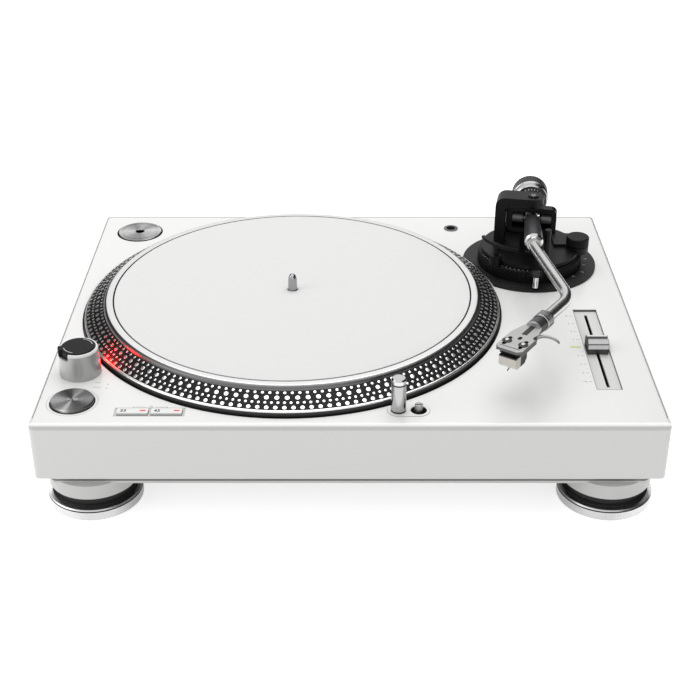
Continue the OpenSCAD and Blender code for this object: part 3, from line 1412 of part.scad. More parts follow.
cabinet_shell();
base_tray();
base_screws();
motor_board();
stator_coils();
spindle_bearing();
main_board();
power_supply();
control_board();
tempo_panel();
tempo_track();
lamp_plate();
strobe_tower();
strobe_lens();
shell_stand();
arm_flange();
rear_bays();
output_jacks();
mains_inlet();
start_button();
speed_button(-1);  // speed_button_33
speed_button(1);  // speed_button_45
power_knob();
tempo_knob();
target_lamp();
lamp_button();
adapter_45();
platter();
rotor_magnet();
spindle();
slipmat();
height_ring();
arm_base();
gimbal_bracket();
pivot_screw();
anti_skate_knob();
lift_bar();
cue_lever();
arm_rest();
gimbal_yoke();
pivot_axle();
arm_hub();
arm_tube();
weight_bush();
counterweight();
tracking_dial();
collar_nut();
headshell();
finger_lift();
cartridge();
stylus();
foot_ring(foot_spots[0]);  // foot_ring_fl
foot_ring(foot_spots[1]);  // foot_ring_fr
foot_ring(foot_spots[2]);  // foot_ring_bl
foot_ring(foot_spots[3]);  // foot_ring_br
foot_damper(foot_spots[0]);  // foot_damper_fl
foot_damper(foot_spots[1]);  // foot_damper_fr
foot_damper(foot_spots[2]);  // foot_damper_bl
foot_damper(foot_spots[3]);  // foot_damper_br
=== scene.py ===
# %% [markdown]
# # A DJ turntable, dressed for the camera
# The construction comes from the CAD frame: every solid is already at its place, in metres. This lesson
# gives each solid its finish and adds what a solid model leaves out: the felt mat, the raised strobe dots,
# small fittings and the printed scales. Then it lights the deck like a studio photograph.

# %% Load the frame
import bpy
import json
import math
from mathutils import Euler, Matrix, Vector


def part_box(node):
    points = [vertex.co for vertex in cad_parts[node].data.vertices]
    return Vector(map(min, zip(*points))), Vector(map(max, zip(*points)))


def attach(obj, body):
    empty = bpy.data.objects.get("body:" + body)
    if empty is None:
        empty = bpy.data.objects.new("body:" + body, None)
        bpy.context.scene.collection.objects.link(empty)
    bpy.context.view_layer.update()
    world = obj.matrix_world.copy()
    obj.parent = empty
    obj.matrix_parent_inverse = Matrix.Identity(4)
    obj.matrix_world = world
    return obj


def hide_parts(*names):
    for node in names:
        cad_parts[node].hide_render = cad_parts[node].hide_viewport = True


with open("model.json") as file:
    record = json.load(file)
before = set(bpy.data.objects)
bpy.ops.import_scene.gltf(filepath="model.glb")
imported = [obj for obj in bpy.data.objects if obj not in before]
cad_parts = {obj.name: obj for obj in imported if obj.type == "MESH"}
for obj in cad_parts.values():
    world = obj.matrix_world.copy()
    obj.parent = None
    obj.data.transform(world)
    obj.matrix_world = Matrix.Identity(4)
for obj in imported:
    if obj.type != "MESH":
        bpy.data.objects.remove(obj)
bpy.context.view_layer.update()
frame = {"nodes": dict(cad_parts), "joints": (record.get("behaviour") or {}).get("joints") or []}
MM = 0.001
FAR = 1.0  # open end of a band, beyond any piece

# %% [markdown]
# ## Places taken from the frame
# The deck's height, the spindle and the arm's pivot could be typed in, but then a change in the solids
# would leave the new pieces behind. So they are read from the solids and the joints. Only printed marks
# have places of their own, measured from the photograph.

# %% Read the places
joints = {joint["name"]: joint for joint in frame["joints"]}


def middle(node):
    """Centre of a CAD node's box."""
    low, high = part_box(node)
    return (low + high) / 2


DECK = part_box("tempo_panel")[1].z + 2 * MM
UP = Vector((0, 0, 1))
SPINDLE = Vector(joints["platter_spin"]["pos_m"])
PIVOT = Vector(joints["arm_swing"]["pos_m"])
SHELL_SEAT = Vector(joints["collar_turn"]["pos_m"])
SHELL_DIR = Vector(joints["collar_turn"]["axis"])
SHELL_SIDE = UP.cross(SHELL_DIR).normalized()
SHELL_UP = SHELL_DIR.cross(SHELL_SIDE)
HUB_DIR = Vector(joints["weight_slide"]["axis"])
print("deck at", round(DECK / MM, 2), "mm, spindle at", tuple(round(v / MM, 1) for v in SPINDLE))
print("arm pivot at", tuple(round(v / MM, 1) for v in PIVOT))
print("headshell at", tuple(round(v / MM, 1) for v in SHELL_SEAT))

# %% [markdown]
# ## Camera
# The photograph was taken from the front, a little under a metre away, looking down by 30 degrees. A long
# lens keeps the sides almost parallel. These values come from fitting the cabinet's corners.

# %% Place the camera
CAMERA_BACK = 949.75 * MM
CAMERA_ABOVE_DECK = 504.71 * MM
CAMERA_PITCH = 60.09
LENS = 68.25
SENSOR_W = 36

camera_data = bpy.data.cameras.new("camera")
camera_data.lens = LENS
camera_data.sensor_width = SENSOR_W
camera = bpy.data.objects.new("camera", camera_data)
camera.location = (0, -CAMERA_BACK, DECK + CAMERA_ABOVE_DECK)
camera.rotation_euler = (math.radians(CAMERA_PITCH), 0, 0)
bpy.context.scene.collection.objects.link(camera)
bpy.context.scene.camera = camera
print("camera looks down by", round(90 - CAMERA_PITCH, 1), "degrees")

# %% [markdown]
# ## Helpers for materials
# A material is a small graph of nodes. One function adds a node, sets its values and joins its inputs.
# Another turns the hex colours that painters use into the linear numbers that the renderer counts in.


# %% Define the helpers for materials
def colour(code):
    """Linear colour of an sRGB hex value such as "f2f1ee"."""
    parts = [int(code[i:i + 2], 16) / 255 for i in (0, 2, 4)]
    linear = [c / 12.92 if c <= 0.04045 else ((c + 0.055) / 1.055) ** 2.4 for c in parts]
    return (*linear, 1.0)


def add(tree, kind, inputs=None, **settings):
    """Adds a node. A socket given as an input is linked, anything else is set as its value."""
    made = tree.nodes.new("ShaderNode" + kind)
    for name, value in settings.items():
        setattr(made, name, value)
    for name, value in (inputs or {}).items():
        if isinstance(value, bpy.types.NodeSocket):
            tree.links.new(value, made.inputs[name])
        else:
            made.inputs[name].default_value = value
    return made


def grained(tree, code, grain, vary):
    """A colour that changes a little with a grain given in mm, and the grain itself."""
    place = add(tree, "TexCoord").outputs["Object"]
    noise = add(tree, "TexNoise", {"Vector": place, "Scale": 1 / (grain * MM), "Detail": 3.0})
    base = Vector(colour(code)[:3])
    tint = add(tree, "ValToRGB", {"Fac": noise.outputs["Fac"]})
    tint.color_ramp.elements[0].position = 0.3
    tint.color_ramp.elements[1].position = 0.7
    tint.color_ramp.elements[0].color = (*(base * (1 - vary)), 1)
    tint.color_ramp.elements[1].color = (*(base * (1 + vary)), 1)
    return tint.outputs["Color"], noise.outputs["Fac"]


def finish(name, code, roughness, metallic=0.0, grain=1.0, bump=0.0, vary=0.04, uneven=0.06, **shader_values):
    """A surface with a fine grain, in mm, that gives slight changes of colour, gloss and height."""
    made = bpy.data.materials.new(name)
    made.use_nodes = True
    tree = made.node_tree
    shader = tree.nodes["Principled BSDF"]
    shader.inputs["Metallic"].default_value = metallic
    for socket, value in shader_values.items():
        shader.inputs[socket.replace("_", " ")].default_value = value
    tint, noise = grained(tree, code, grain, vary)
    gloss = add(tree, "MapRange", {"Value": noise, "From Min": 0.3, "From Max": 0.7,
                                   "To Min": roughness - uneven / 2, "To Max": roughness + uneven / 2})
    tree.links.new(tint, shader.inputs["Base Color"])
    tree.links.new(gloss.outputs["Result"], shader.inputs["Roughness"])
    if bump:
        relief = add(tree, "Bump", {"Height": noise, "Distance": bump * MM, "Strength": 1.0})
        tree.links.new(relief.outputs["Normal"], shader.inputs["Normal"])
    return made


def dress(material, *nodes):
    """Gives a material to CAD nodes."""
    for name in nodes:
        for slot in frame["nodes"][name].material_slots:
            slot.material = material


# %% [markdown]
# ## Helpers for pieces with several looks
# A casting or a moulding can carry paint, a plated band or painted shade in a gap on one solid. Where that
# changes with place, the material measures the place: how far along a direction, or how far from an upright
# axis.
# A mask made from that measure lays a second finish, or painted light and shade, over the first.


# %% Define the helpers for masks
def along(tree, origin, direction):
    """Distance of a surface point from a place, measured along a direction."""
    place = add(tree, "TexCoord").outputs["Object"]
    way = add(tree, "VectorMath", {0: place, 1: Vector(origin)}, operation="SUBTRACT").outputs["Vector"]
    return add(tree, "VectorMath", {0: way, 1: Vector(direction)}, operation="DOT_PRODUCT").outputs["Value"]


def far_from(tree, axis_place):
    """Distance of a surface point from an upright axis."""
    place = add(tree, "TexCoord").outputs["Object"]
    way = add(tree, "VectorMath", {0: place, 1: Vector(axis_place)}, operation="SUBTRACT").outputs["Vector"]
    flat = add(tree, "VectorMath", {0: way, 1: (1, 1, 0)}, operation="MULTIPLY").outputs["Vector"]
    return add(tree, "VectorMath", {0: flat}, operation="LENGTH").outputs["Value"]


def maths(tree, kind, first, second=0.0):
    """Result of a sum on one or two values, such as "ABSOLUTE" or "SUBTRACT"."""
    return add(tree, "Math", {0: first, 1: second}, operation=kind).outputs["Value"]


def both(tree, first, second):
    """1 where two masks meet."""
    return maths(tree, "MULTIPLY", first, second)


def between(tree, value, low, high):
    """1 where a value lies between two limits, 0 elsewhere."""
    return both(tree, maths(tree, "GREATER_THAN", value, low), maths(tree, "LESS_THAN", value, high))


def overlay(material, mask, code, roughness, metallic=0.0, grain=0.5, vary=0.05):
    """Lays a second finish over a material where the mask is 1."""
    tree = material.node_tree
    shader = tree.nodes["Principled BSDF"]
    tint = grained(tree, code, grain, vary)[0]
    under = shader.inputs["Base Color"].links[0].from_socket
    mixed = add(tree, "MixRGB", {"Fac": mask, "Color1": under, "Color2": tint})
    tree.links.new(mixed.outputs["Color"], shader.inputs["Base Color"])
    for name, value in (("Roughness", roughness), ("Metallic", metallic)):
        socket = shader.inputs[name]
        before = socket.links[0].from_socket if socket.is_linked else socket.default_value
        if before != value:
            change = add(tree, "MapRange", {"Value": mask, "To Min": before, "To Max": value})
            tree.links.new(change.outputs["Result"], socket)


def band(material, origin, direction, low, high, code, roughness, metallic=0.0):
    """Lays a second finish over a material between two limits along a direction."""
    tree = material.node_tree
    overlay(material, between(tree, along(tree, origin, direction), low, high), code, roughness, metallic)


# %% [markdown]
# ## Cabinet
# The cabinet is sprayed with white lacquer: glossy, with the faint orange-peel of paint. A thin grey line of
# painted shade runs round the top where the cover plate meets the sides, and the walls of every opening are
# painted dark grey as shade, those by the buttons a lighter grey. The line is drawn by its distance from a
# rounded rectangle, so it needs no cut in the solid. A fine ring runs round the start button, the side edges
# carry painted shade, and the front edge has a painted highlight over a band of painted shade.

# %% Paint the cabinet
SEAM_X = 222.6 * MM
SEAM_Y = 173.4 * MM
SEAM_R = 2.2 * MM
SEAM_W = 0.8 * MM
SEAM_STRETCH = 0.5
SEAM_FRONT = -168 * MM
OPENINGS_X = 215 * MM
OPENINGS_Y = 169 * MM
BUTTONS_X = (-170 * MM, -112 * MM)
BUTTONS_Y = (-166 * MM, -153 * MM)
START_RING = 18.2 * MM
START_RING_W = 0.4 * MM
EDGE_X = 224.0 * MM
EDGE_DROP = 2.6 * MM
FRONT_Y = -174.4 * MM
FRONT_HIGHLIGHT = 1.5 * MM
FRONT_SHADE = 4.5 * MM

lacquer = finish("white lacquer", "eeeeec", 0.32, grain=1.6, bump=0.002, vary=0.006,
                 Coat_Weight=0.3, Coat_Roughness=0.12)
tree = lacquer.node_tree
split = add(tree, "SeparateXYZ", {"Vector": add(tree, "TexCoord").outputs["Object"]}).outputs
side = maths(tree, "ABSOLUTE", split["X"])
back = maths(tree, "ABSOLUTE", split["Y"])
# Painted shade: a thin grey line where the seam of the cover plate lies in shade.
side_out = maths(tree, "MAXIMUM", maths(tree, "SUBTRACT", side, SEAM_X - SEAM_R))
back_out = maths(tree, "MAXIMUM", maths(tree, "SUBTRACT", back, SEAM_Y - SEAM_R / SEAM_STRETCH))
back_out = maths(tree, "MULTIPLY", back_out, SEAM_STRETCH)
outwards = add(tree, "CombineXYZ", {"X": side_out, "Y": back_out}).outputs["Vector"]
outwards = add(tree, "VectorMath", {0: outwards}, operation="LENGTH").outputs["Value"]
seam = between(tree, outwards, SEAM_R - SEAM_W / 2, SEAM_R + SEAM_W / 2)
on_top = between(tree, split["Z"], DECK - 1.2 * MM, DECK + 1 * MM)
behind_front = between(tree, split["Y"], SEAM_FRONT, FAR)
overlay(lacquer, both(tree, both(tree, seam, on_top), behind_front), "8c8c8a", 0.5)
# Painted shade: the walls of every opening, below the deck, are dark grey.
inside = both(tree, between(tree, side, -FAR, OPENINGS_X), between(tree, back, -FAR, OPENINGS_Y))
sunk = between(tree, split["Z"], -FAR, DECK - 0.5 * MM)
overlay(lacquer, both(tree, inside, sunk), "3c3c3b", 0.5)
# Painted shade, lighter: the walls of the pockets by the buttons are a light grey.
by_buttons = both(tree, between(tree, split["X"], *BUTTONS_X), between(tree, split["Y"], *BUTTONS_Y))
overlay(lacquer, both(tree, by_buttons, sunk), "c6c6c4", 0.5)
from_start = far_from(tree, middle("start_button"))
start_ring = between(tree, from_start, START_RING, START_RING + START_RING_W)
overlay(lacquer, both(tree, start_ring, on_top), "b8b8b6", 0.4)
# Painted shade on the rounded side edges at the top.
edge = both(tree, between(tree, side, EDGE_X, FAR), between(tree, split["Z"], DECK - EDGE_DROP, FAR))
overlay(lacquer, edge, "747472", 0.4)
# Painted highlight: a white line along the front edge; painted shade: a grey band on the front face under it.
fore = between(tree, split["Y"], -FAR, FRONT_Y)
overlay(lacquer, both(tree, fore, between(tree, split["Z"], DECK - FRONT_HIGHLIGHT, FAR)), "ffffff", 0.3)
shaded = between(tree, split["Z"], DECK - FRONT_SHADE, DECK - FRONT_HIGHLIGHT)
overlay(lacquer, both(tree, fore, shaded), "d6d6d4", 0.35)
dress(lacquer, "cabinet_shell")
print("cabinet painted, seam at", round(SEAM_X / MM, 1), "mm from the middle")

# %% [markdown]
# ## Moulded parts
# The base is moulded ABS, duller than the lacquer, with a dark line of painted shade under the cabinet's rim.
# The tower is painted silver with a white rim, the speed buttons are satin, and the fader's panel has a black
# slot. Below the deck the speed buttons and the lamp's plate carry painted shade. Black parts are ABS or
# powder coated zinc: deep black with a soft sheen on faces that see the lamp. Each grain size is a real one.

# %% Colour the moulded parts
RIM_SHADE = (-1.0 * MM, 0.5 * MM)
TOWER_RIM = (19.6 * MM, 30 * MM)
SLOT_HALF_W = 1.2 * MM
SLOT_SHARE = 0.9

white_abs = finish("moulded white ABS", "e2e2e0", 0.42, grain=0.8, bump=0.004, vary=0.01)
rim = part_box("cabinet_shell")[0].z
# Painted shade: a dark line under the cabinet's rim.
band(white_abs, (0, 0, rim), UP, *RIM_SHADE, "6e6e6c", 0.5)
dress(white_abs, "base_tray")
silver_paint = finish("silver painted ABS", "b2b2b1", 0.32, metallic=0.45, grain=0.5, bump=0.002, vary=0.012)
band(silver_paint, (0, 0, DECK), UP, *TOWER_RIM, "f2f2f0", 0.25)
dress(silver_paint, "strobe_tower")
panel_grey = finish("grey anodised panel", "dadad8", 0.42, metallic=0.1, grain=0.4, bump=0.003, vary=0.02)
tree = panel_grey.node_tree
low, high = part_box("tempo_panel")
by_slot = between(tree, along(tree, middle("tempo_panel"), (1, 0, 0)), -SLOT_HALF_W, SLOT_HALF_W)
slot_half = SLOT_SHARE * (high.y - low.y) / 2
in_slot = between(tree, along(tree, middle("tempo_panel"), (0, 1, 0)), -slot_half, slot_half)
overlay(panel_grey, both(tree, by_slot, in_slot), "0c0c0c", 0.5)
dress(panel_grey, "tempo_panel")
black_abs = finish("moulded black ABS", "08080a", 0.5, grain=0.5, bump=0.006, vary=0.2,
                   Specular_IOR_Level=0.2)
dress(black_abs, "tempo_track", "power_knob", "rear_bays", "mains_inlet", "anti_skate_knob", "tracking_dial",
      "stylus", "height_ring")
powder_black = finish("black powder coat", "070708", 0.45, grain=0.35, bump=0.006, vary=0.25,
                      Specular_IOR_Level=0.22)
dress(powder_black, "arm_base", "gimbal_bracket", "gimbal_yoke", "arm_rest", "lift_bar")
charcoal = finish("charcoal powder coat", "1c1c1d", 0.5, grain=0.4, bump=0.006, vary=0.12,
                  Specular_IOR_Level=0.25)
dress(charcoal, "arm_flange")
rubber = finish("moulded rubber", "0a0a0b", 0.6, grain=0.6, bump=0.02, vary=0.2)
dress(rubber, *[name for name in frame["nodes"] if name.startswith("foot_damper")])
button_abs = finish("satin white ABS", "ececea", 0.35, grain=0.5, bump=0.003, vary=0.01)
# Painted shade on the buttons below the deck, in the gap round them.
band(button_abs, (0, 0, DECK), UP, -FAR, -0.1 * MM, "9c9c9a", 0.6)
dress(button_abs, "speed_button_33", "speed_button_45")
plate_white = finish("white moulded plate", "ececea", 0.38, grain=0.6, bump=0.003, vary=0.01)
# Painted shade on the plate below the deck, in the gap round it.
band(plate_white, (0, 0, DECK), UP, -FAR, -0.5 * MM, "2c2c2c", 0.6)
dress(plate_white, "lamp_plate")
print("moulded parts done, base rim at", round(rim / MM, 2), "mm")

# %% [markdown]
# ## Metals
# Bright metal shows the room, so its look is mostly roughness: polished chrome is near 0.16, a satin tube
# near 0.27 and anodised zinc near 0.36. Metals keep the default IOR. The parts inside the cabinet are
# bronze, copper, ferrite and circuit board.

# %% Polish the metals
SCREW_TIP_R = 1.9 * MM

nickel = finish("satin nickel tube", "c8c8c7", 0.27, metallic=1.0, grain=0.3, vary=0.02)
dress(nickel, "arm_tube")
chrome = finish("polished chrome", "a6a6a8", 0.16, metallic=1.0, grain=2.0, vary=0.01, uneven=0.03)
dress(chrome, "spindle")
knurled = finish("knurled nickel", "a2a2a2", 0.28, metallic=1.0, grain=0.6, bump=0.15, vary=0.2)
dress(knurled, "lamp_button", "collar_nut")
screw_black = finish("blackened screw", "101011", 0.4, grain=0.3, vary=0.15, Specular_IOR_Level=0.25)
tree = screw_black.node_tree
overlay(screw_black, between(tree, far_from(tree, PIVOT), -FAR, SCREW_TIP_R), "8c8c8c", 0.3, metallic=1.0)
dress(screw_black, "pivot_screw")
steel = finish("zinc plated steel", "a8a8aa", 0.3, metallic=1.0, grain=0.4, vary=0.06)
dress(steel, "base_screws")
axle_grey = finish("dark steel axle", "606062", 0.42, metallic=0.5, grain=0.3, vary=0.06)
dress(axle_grey, "pivot_axle")
grey_zinc = finish("grey anodised zinc", "6a6a6c", 0.36, metallic=0.8, grain=0.3, bump=0.004, vary=0.06)
dress(grey_zinc, "shell_stand", "weight_bush")
gold = finish("gold plated brass", "d8b45a", 0.22, metallic=1.0, grain=0.5, vary=0.03)
dress(gold, "output_jacks")
bronze = finish("sintered bronze", "9a7440", 0.45, metallic=1.0, grain=0.3, bump=0.01, vary=0.12)
dress(bronze, "spindle_bearing")
copper = finish("enamelled copper wire", "b5652f", 0.3, metallic=0.9, grain=0.4, bump=0.05, vary=0.15)
dress(copper, "stator_coils")
ferrite = finish("sintered ferrite", "2c2c2f", 0.55, grain=0.3, bump=0.01, vary=0.2)
dress(ferrite, "rotor_magnet", "power_supply")
circuit = finish("green circuit board", "15502d", 0.4, grain=1.2, bump=0.01, vary=0.2)
dress(circuit, "motor_board", "main_board", "control_board")
print("metals done")

# %% [markdown]
# ## Arm fittings
# The hub is dark zinc with a plated ferrule where the tube enters it. The counterweight is black with a
# silver band in front. The headshell is bead-blasted magnesium, darker along its edge, with painted shade at
# its neck. The cartridge has a black mount and an ivory nose, and the top of the nose carries painted shade
# under the headshell.
# Most of these bands lie across the arm, so they are measured along it.

# %% Finish the arm fittings
FERRULE = (47.2 * MM, 60 * MM)
WEIGHT_BAND = (-43.3 * MM, -30 * MM)
SHELL_EDGE = 2.3 * MM
NECK_END = 9.0 * MM
FINGER_ROOT = 11 * MM
MOUNT_END = 41.4 * MM
MOUNT_AND_SHADE_DEPTH = 5.2 * MM
LEVER_HUB_R = 4.2 * MM

hub_zinc = finish("dark anodised hub", "444446", 0.42, metallic=0.5, grain=0.3, bump=0.003, vary=0.06)
band(hub_zinc, PIVOT, HUB_DIR, *FERRULE, "cfcfcf", 0.16, metallic=1.0)
dress(hub_zinc, "arm_hub")

weight_black = finish("black anodised weight", "0c0c0d", 0.35, metallic=0.2, grain=0.4, bump=0.004, vary=0.2)
band(weight_black, PIVOT, HUB_DIR, *WEIGHT_BAND, "b4b4b4", 0.24, metallic=1.0)
dress(weight_black, "counterweight")

shell_grey = finish("bead-blasted magnesium", "b0b0af", 0.4, metallic=0.6, grain=0.35, bump=0.004, vary=0.05)
band(shell_grey, SHELL_SEAT, SHELL_UP, -FAR, SHELL_EDGE, "5e5e5e", 0.35, metallic=0.7)
# Painted shade on the shell's neck.
band(shell_grey, SHELL_SEAT, SHELL_DIR, -FAR, NECK_END, "4c4c4c", 0.4, metallic=0.5)
dress(shell_grey, "headshell")
finger_steel = finish("bent steel rod", "8a8a8a", 0.25, metallic=1.0, grain=0.4, vary=0.05)
band(finger_steel, SHELL_SEAT, SHELL_SIDE, -FAR, FINGER_ROOT, "1c1c1c", 0.4)

cartridge_mould = finish("ivory moulded plastic", "dad6cd", 0.32, grain=0.4, bump=0.003, vary=0.03)
band(cartridge_mould, SHELL_SEAT, SHELL_DIR, -FAR, MOUNT_END, "0e0e0f", 0.45)
# The top of the nose carries the black of the mount and painted shade under the headshell.
band(cartridge_mould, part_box("cartridge")[1], UP, -MOUNT_AND_SHADE_DEPTH, FAR, "0e0e0f", 0.45)
dress(cartridge_mould, "cartridge")

lever_chrome = finish("chrome lever tip", "e2e2e2", 0.1, metallic=1.0, grain=1.0, vary=0.01, uneven=0.03)
tree = lever_chrome.node_tree
lever = Vector(joints["cue_lever_turn"]["pos_m"])
place = add(tree, "TexCoord").outputs["Object"]
from_hub = add(tree, "VectorMath", {0: place, 1: lever}, operation="DISTANCE").outputs["Value"]
overlay(lever_chrome, between(tree, from_hub, -FAR, LEVER_HUB_R), "0c0c0d", 0.45)
dress(lever_chrome, "cue_lever")
print("arm fittings done")

# %% [markdown]
# ## Controls
# The fader's knob is milled aluminium between black sides, with a black line of painted shade across its dip,
# painted shade on its front and a painted highlight on the front's upper part. The lamp is a satin tube with
# a black foot and painted shade in a groove under its cap. The strobe lens is red acrylic with a lamp behind
# it, so it glows.
# Each solid is one piece, so its bands are masks and not parts of their own.

# %% Finish the controls
DIP_SHADE = (0.6 * MM, 2.2 * MM)
KNOB_END = -9.0 * MM
KNOB_FRONT = -7.46 * MM
KNOB_EDGE = -6.6 * MM
KNOB_HIGHLIGHT = 6.4 * MM
KNOB_SIDE_W = 0.3 * MM
LAMP_FOOT = 1.6 * MM
LAMP_GROOVE_SHADE = -5.0 * MM
LAMP_CAP = -4.0 * MM

knob = middle("tempo_knob")
knob_low, knob_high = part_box("tempo_knob")
knob_metal = finish("milled aluminium", "969696", 0.3, metallic=0.8, grain=0.3, vary=0.03)
tree = knob_metal.node_tree
across = along(tree, knob, (0, 1, 0))
# Painted shade: a black line across the dip of the knob.
overlay(knob_metal, between(tree, across, *DIP_SHADE), "0a0a0a", 0.5)
overlay(knob_metal, between(tree, across, KNOB_FRONT, DIP_SHADE[0]), "9a9a9a", 0.3, metallic=0.8)
# Painted shade: a dark strip along the front edge of the top, and the front face darker.
overlay(knob_metal, between(tree, across, KNOB_FRONT, KNOB_EDGE), "3a3a3a", 0.4, metallic=0.5)
front = between(tree, across, KNOB_END, KNOB_FRONT)
overlay(knob_metal, front, "4a4a4a", 0.35, metallic=0.6)
# Painted highlight: a white band on the upper part of the front face.
upper = between(tree, along(tree, knob_high, UP), -KNOB_HIGHLIGHT, FAR)
overlay(knob_metal, both(tree, front, upper), "f2f2f2", 0.5)
from_side = maths(tree, "ABSOLUTE", along(tree, knob, (1, 0, 0)))
flank = (knob_high.x - knob_low.x) / 2 - KNOB_SIDE_W
overlay(knob_metal, between(tree, from_side, flank, FAR), "080808", 0.5)
dress(knob_metal, "tempo_knob")

lamp_metal = finish("satin lamp tube", "b0b0b0", 0.22, metallic=1.0, grain=0.3, vary=0.03)
lamp_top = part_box("target_lamp")[1]
band(lamp_metal, (0, 0, DECK), UP, -FAR, LAMP_FOOT, "0c0c0c", 0.5)
# Painted shade in the groove under the cap.
band(lamp_metal, lamp_top, UP, LAMP_GROOVE_SHADE, LAMP_CAP, "2a2a2a", 0.4, metallic=0.5)
band(lamp_metal, lamp_top, UP, LAMP_CAP, FAR, "cccccc", 0.14, metallic=1.0)
dress(lamp_metal, "target_lamp")

lens_red = finish("red acrylic lens", "d8201c", 0.15, grain=0.8, vary=0.08, IOR=1.49,
                  Emission_Color=colour("ff2a1e"), Emission_Strength=2.0)
dress(lens_red, "strobe_lens")
print("controls done, fader knob is", round((knob_high.x - knob_low.x) / MM, 1), "mm wide")

# %% [markdown]
# ## Turned aluminium
# The start button, the adapter and the foot rings are turned on a lathe. The tool leaves fine circles that
# spread a highlight across them, so the shader is anisotropic, with its tangent running round the axis.
# The circles are drawn 1 mm apart, coarser than real ones, so that they show. Streaks of light and shade
# by angle are painted reflections of the bright windows and dark walls of a room. Painted shade darkens the
# gap round the start button and the adapter, and the groove of each foot ring.

# %% Turn the aluminium parts
RING_STEP = 1.0 * MM
WAVE_RATE = 20  # radians in one unit of the wave texture at scale 1


def turned(name, centre, streaks, code="c8c8c8"):
    """Aluminium with circles round an upright axis through centre, and painted reflections as streaks of
    light and shade by angle.
    """
    made = finish(name, code, 0.28, metallic=1.0, grain=0.4, vary=0.02, Anisotropic=0.8)
    tree = made.node_tree
    shader = tree.nodes["Principled BSDF"]
    place = add(tree, "Mapping", {"Vector": add(tree, "TexCoord").outputs["Object"], "Location": -centre})
    place = place.outputs["Vector"]
    rings = add(tree, "TexWave", {"Vector": place, "Scale": math.tau / (WAVE_RATE * RING_STEP)},
                wave_type="RINGS", rings_direction="Z")
    relief = add(tree, "Bump", {"Height": rings.outputs["Fac"], "Distance": 0.004 * MM, "Strength": 0.6})
    tree.links.new(relief.outputs["Normal"], shader.inputs["Normal"])
    tangent = add(tree, "Tangent", direction_type="RADIAL", axis="Z")
    tree.links.new(tangent.outputs["Tangent"], shader.inputs["Tangent"])
    sweep = add(tree, "TexGradient", {"Vector": place}, gradient_type="RADIAL")
    shade = add(tree, "ValToRGB", {"Fac": sweep.outputs["Fac"]})
    stops = shade.color_ramp.elements
    stops.remove(stops[1])
    stops[0].position = 0.0
    stops[0].color = (streaks[0], streaks[0], streaks[0], 1)
    for step, value in enumerate(streaks[1:], 1):
        stop = stops.new(step / (len(streaks) - 1))
        stop.color = (value, value, value, 1)
    tint = shader.inputs["Base Color"].links[0].from_socket
    mixed = add(tree, "MixRGB", {"Fac": 1.0, "Color1": tint, "Color2": shade.outputs["Color"]},
                blend_type="MULTIPLY")
    tree.links.new(mixed.outputs["Color"], shader.inputs["Base Color"])
    return made


# Painted reflections: the brightness of each part, step by step round its axis.
STREAKS = {"start_button": (0.45, 0.42, 0.28, 0.22, 0.35, 1.0, 0.35, 0.22, 0.2, 0.2, 0.28, 0.36,
                            0.38, 0.3, 0.25, 0.3, 1.0, 0.75, 0.25, 0.2, 0.25, 0.33, 0.42, 0.45),
           "adapter_45": (0.9, 0.75, 0.5, 0.45, 0.9, 0.8, 0.95, 0.5, 0.8, 0.45, 0.75, 0.9)}
# Painted reflections on the foot rings, brighter on their outer sides.
LEFT_FOOT = (1.0, 1.0, 1.0, 0.8, 0.85, 0.55, 0.4, 0.45, 0.6, 0.9, 0.75, 1.0, 1.0)
RIGHT_FOOT = (0.5, 0.6, 0.8, 0.75, 1.0, 1.0, 1.0, 0.75, 0.9, 0.6, 0.75, 0.55, 0.5)
GAP_SHADE = 0.15 * MM
FOOT_GROOVE_SHADE = (7.2 * MM, 8.25 * MM)

for name, streaks in STREAKS.items():
    metal = turned("turned aluminium " + name, middle(name), streaks)
    # Painted shade in the gap round the part, at the deck.
    band(metal, (0, 0, DECK), UP, -FAR, GAP_SHADE, "101010", 0.5)
    dress(metal, name)
for name in [node for node in frame["nodes"] if node.startswith("foot_ring")]:
    streaks = LEFT_FOOT if middle(name).x < 0 else RIGHT_FOOT
    metal = turned("turned aluminium " + name, middle(name), streaks, code="e0e0e0")
    # Painted shade in the groove of the ring.
    band(metal, (0, 0, 0), UP, *FOOT_GROOVE_SHADE, "101010", 0.5)
    dress(metal, name)
print("turned parts done")

# %% [markdown]
# ## Platter
# The casting is one piece with several looks: a silver lip with painted shade where it rounds over, a black
# strobe band on the slope and a bright edge above a skirt in painted shade. They change with the distance
# from the spindle and with height. The seat under the mat and the lip's inner edge are painted dark as shade,
# which draws the thin line at the mat's edge.

# %% Colour the platter
LIP_SHADE_R = 148.0 * MM
LIP_R = 150.5 * MM
BAND_FOOT_R = 164.5 * MM
SKIRT_SHADE_TOP = DECK + 3.5 * MM
SEAT_R = 143.1 * MM
SEAT_TOP = DECK + 15.6 * MM

platter_metal = finish("cast aluminium", "e2e2e1", 0.3, metallic=1.0, grain=0.5, vary=0.01,
                       Specular_IOR_Level=0.2)
tree = platter_metal.node_tree
radius = far_from(tree, SPINDLE)
height = along(tree, (0, 0, 0), UP)
# Painted shade where the lip rounds over.
overlay(platter_metal, between(tree, radius, LIP_SHADE_R, LIP_R), "6c6c6c", 0.35, metallic=1.0)
overlay(platter_metal, between(tree, radius, LIP_R, BAND_FOOT_R), "0c0c0d", 0.5)
# Painted shade on the skirt under the bright edge.
overlay(platter_metal, between(tree, height, -FAR, SKIRT_SHADE_TOP), "464646", 0.35, metallic=0.7)
# Painted shade: the seat and the lip's inner edge are dark, which draws the line at the mat's edge.
seat = both(tree, between(tree, radius, -FAR, SEAT_R), between(tree, height, -FAR, SEAT_TOP))
overlay(platter_metal, seat, "161616", 0.6)
dress(platter_metal, "platter")
print("platter coloured by radius and height")

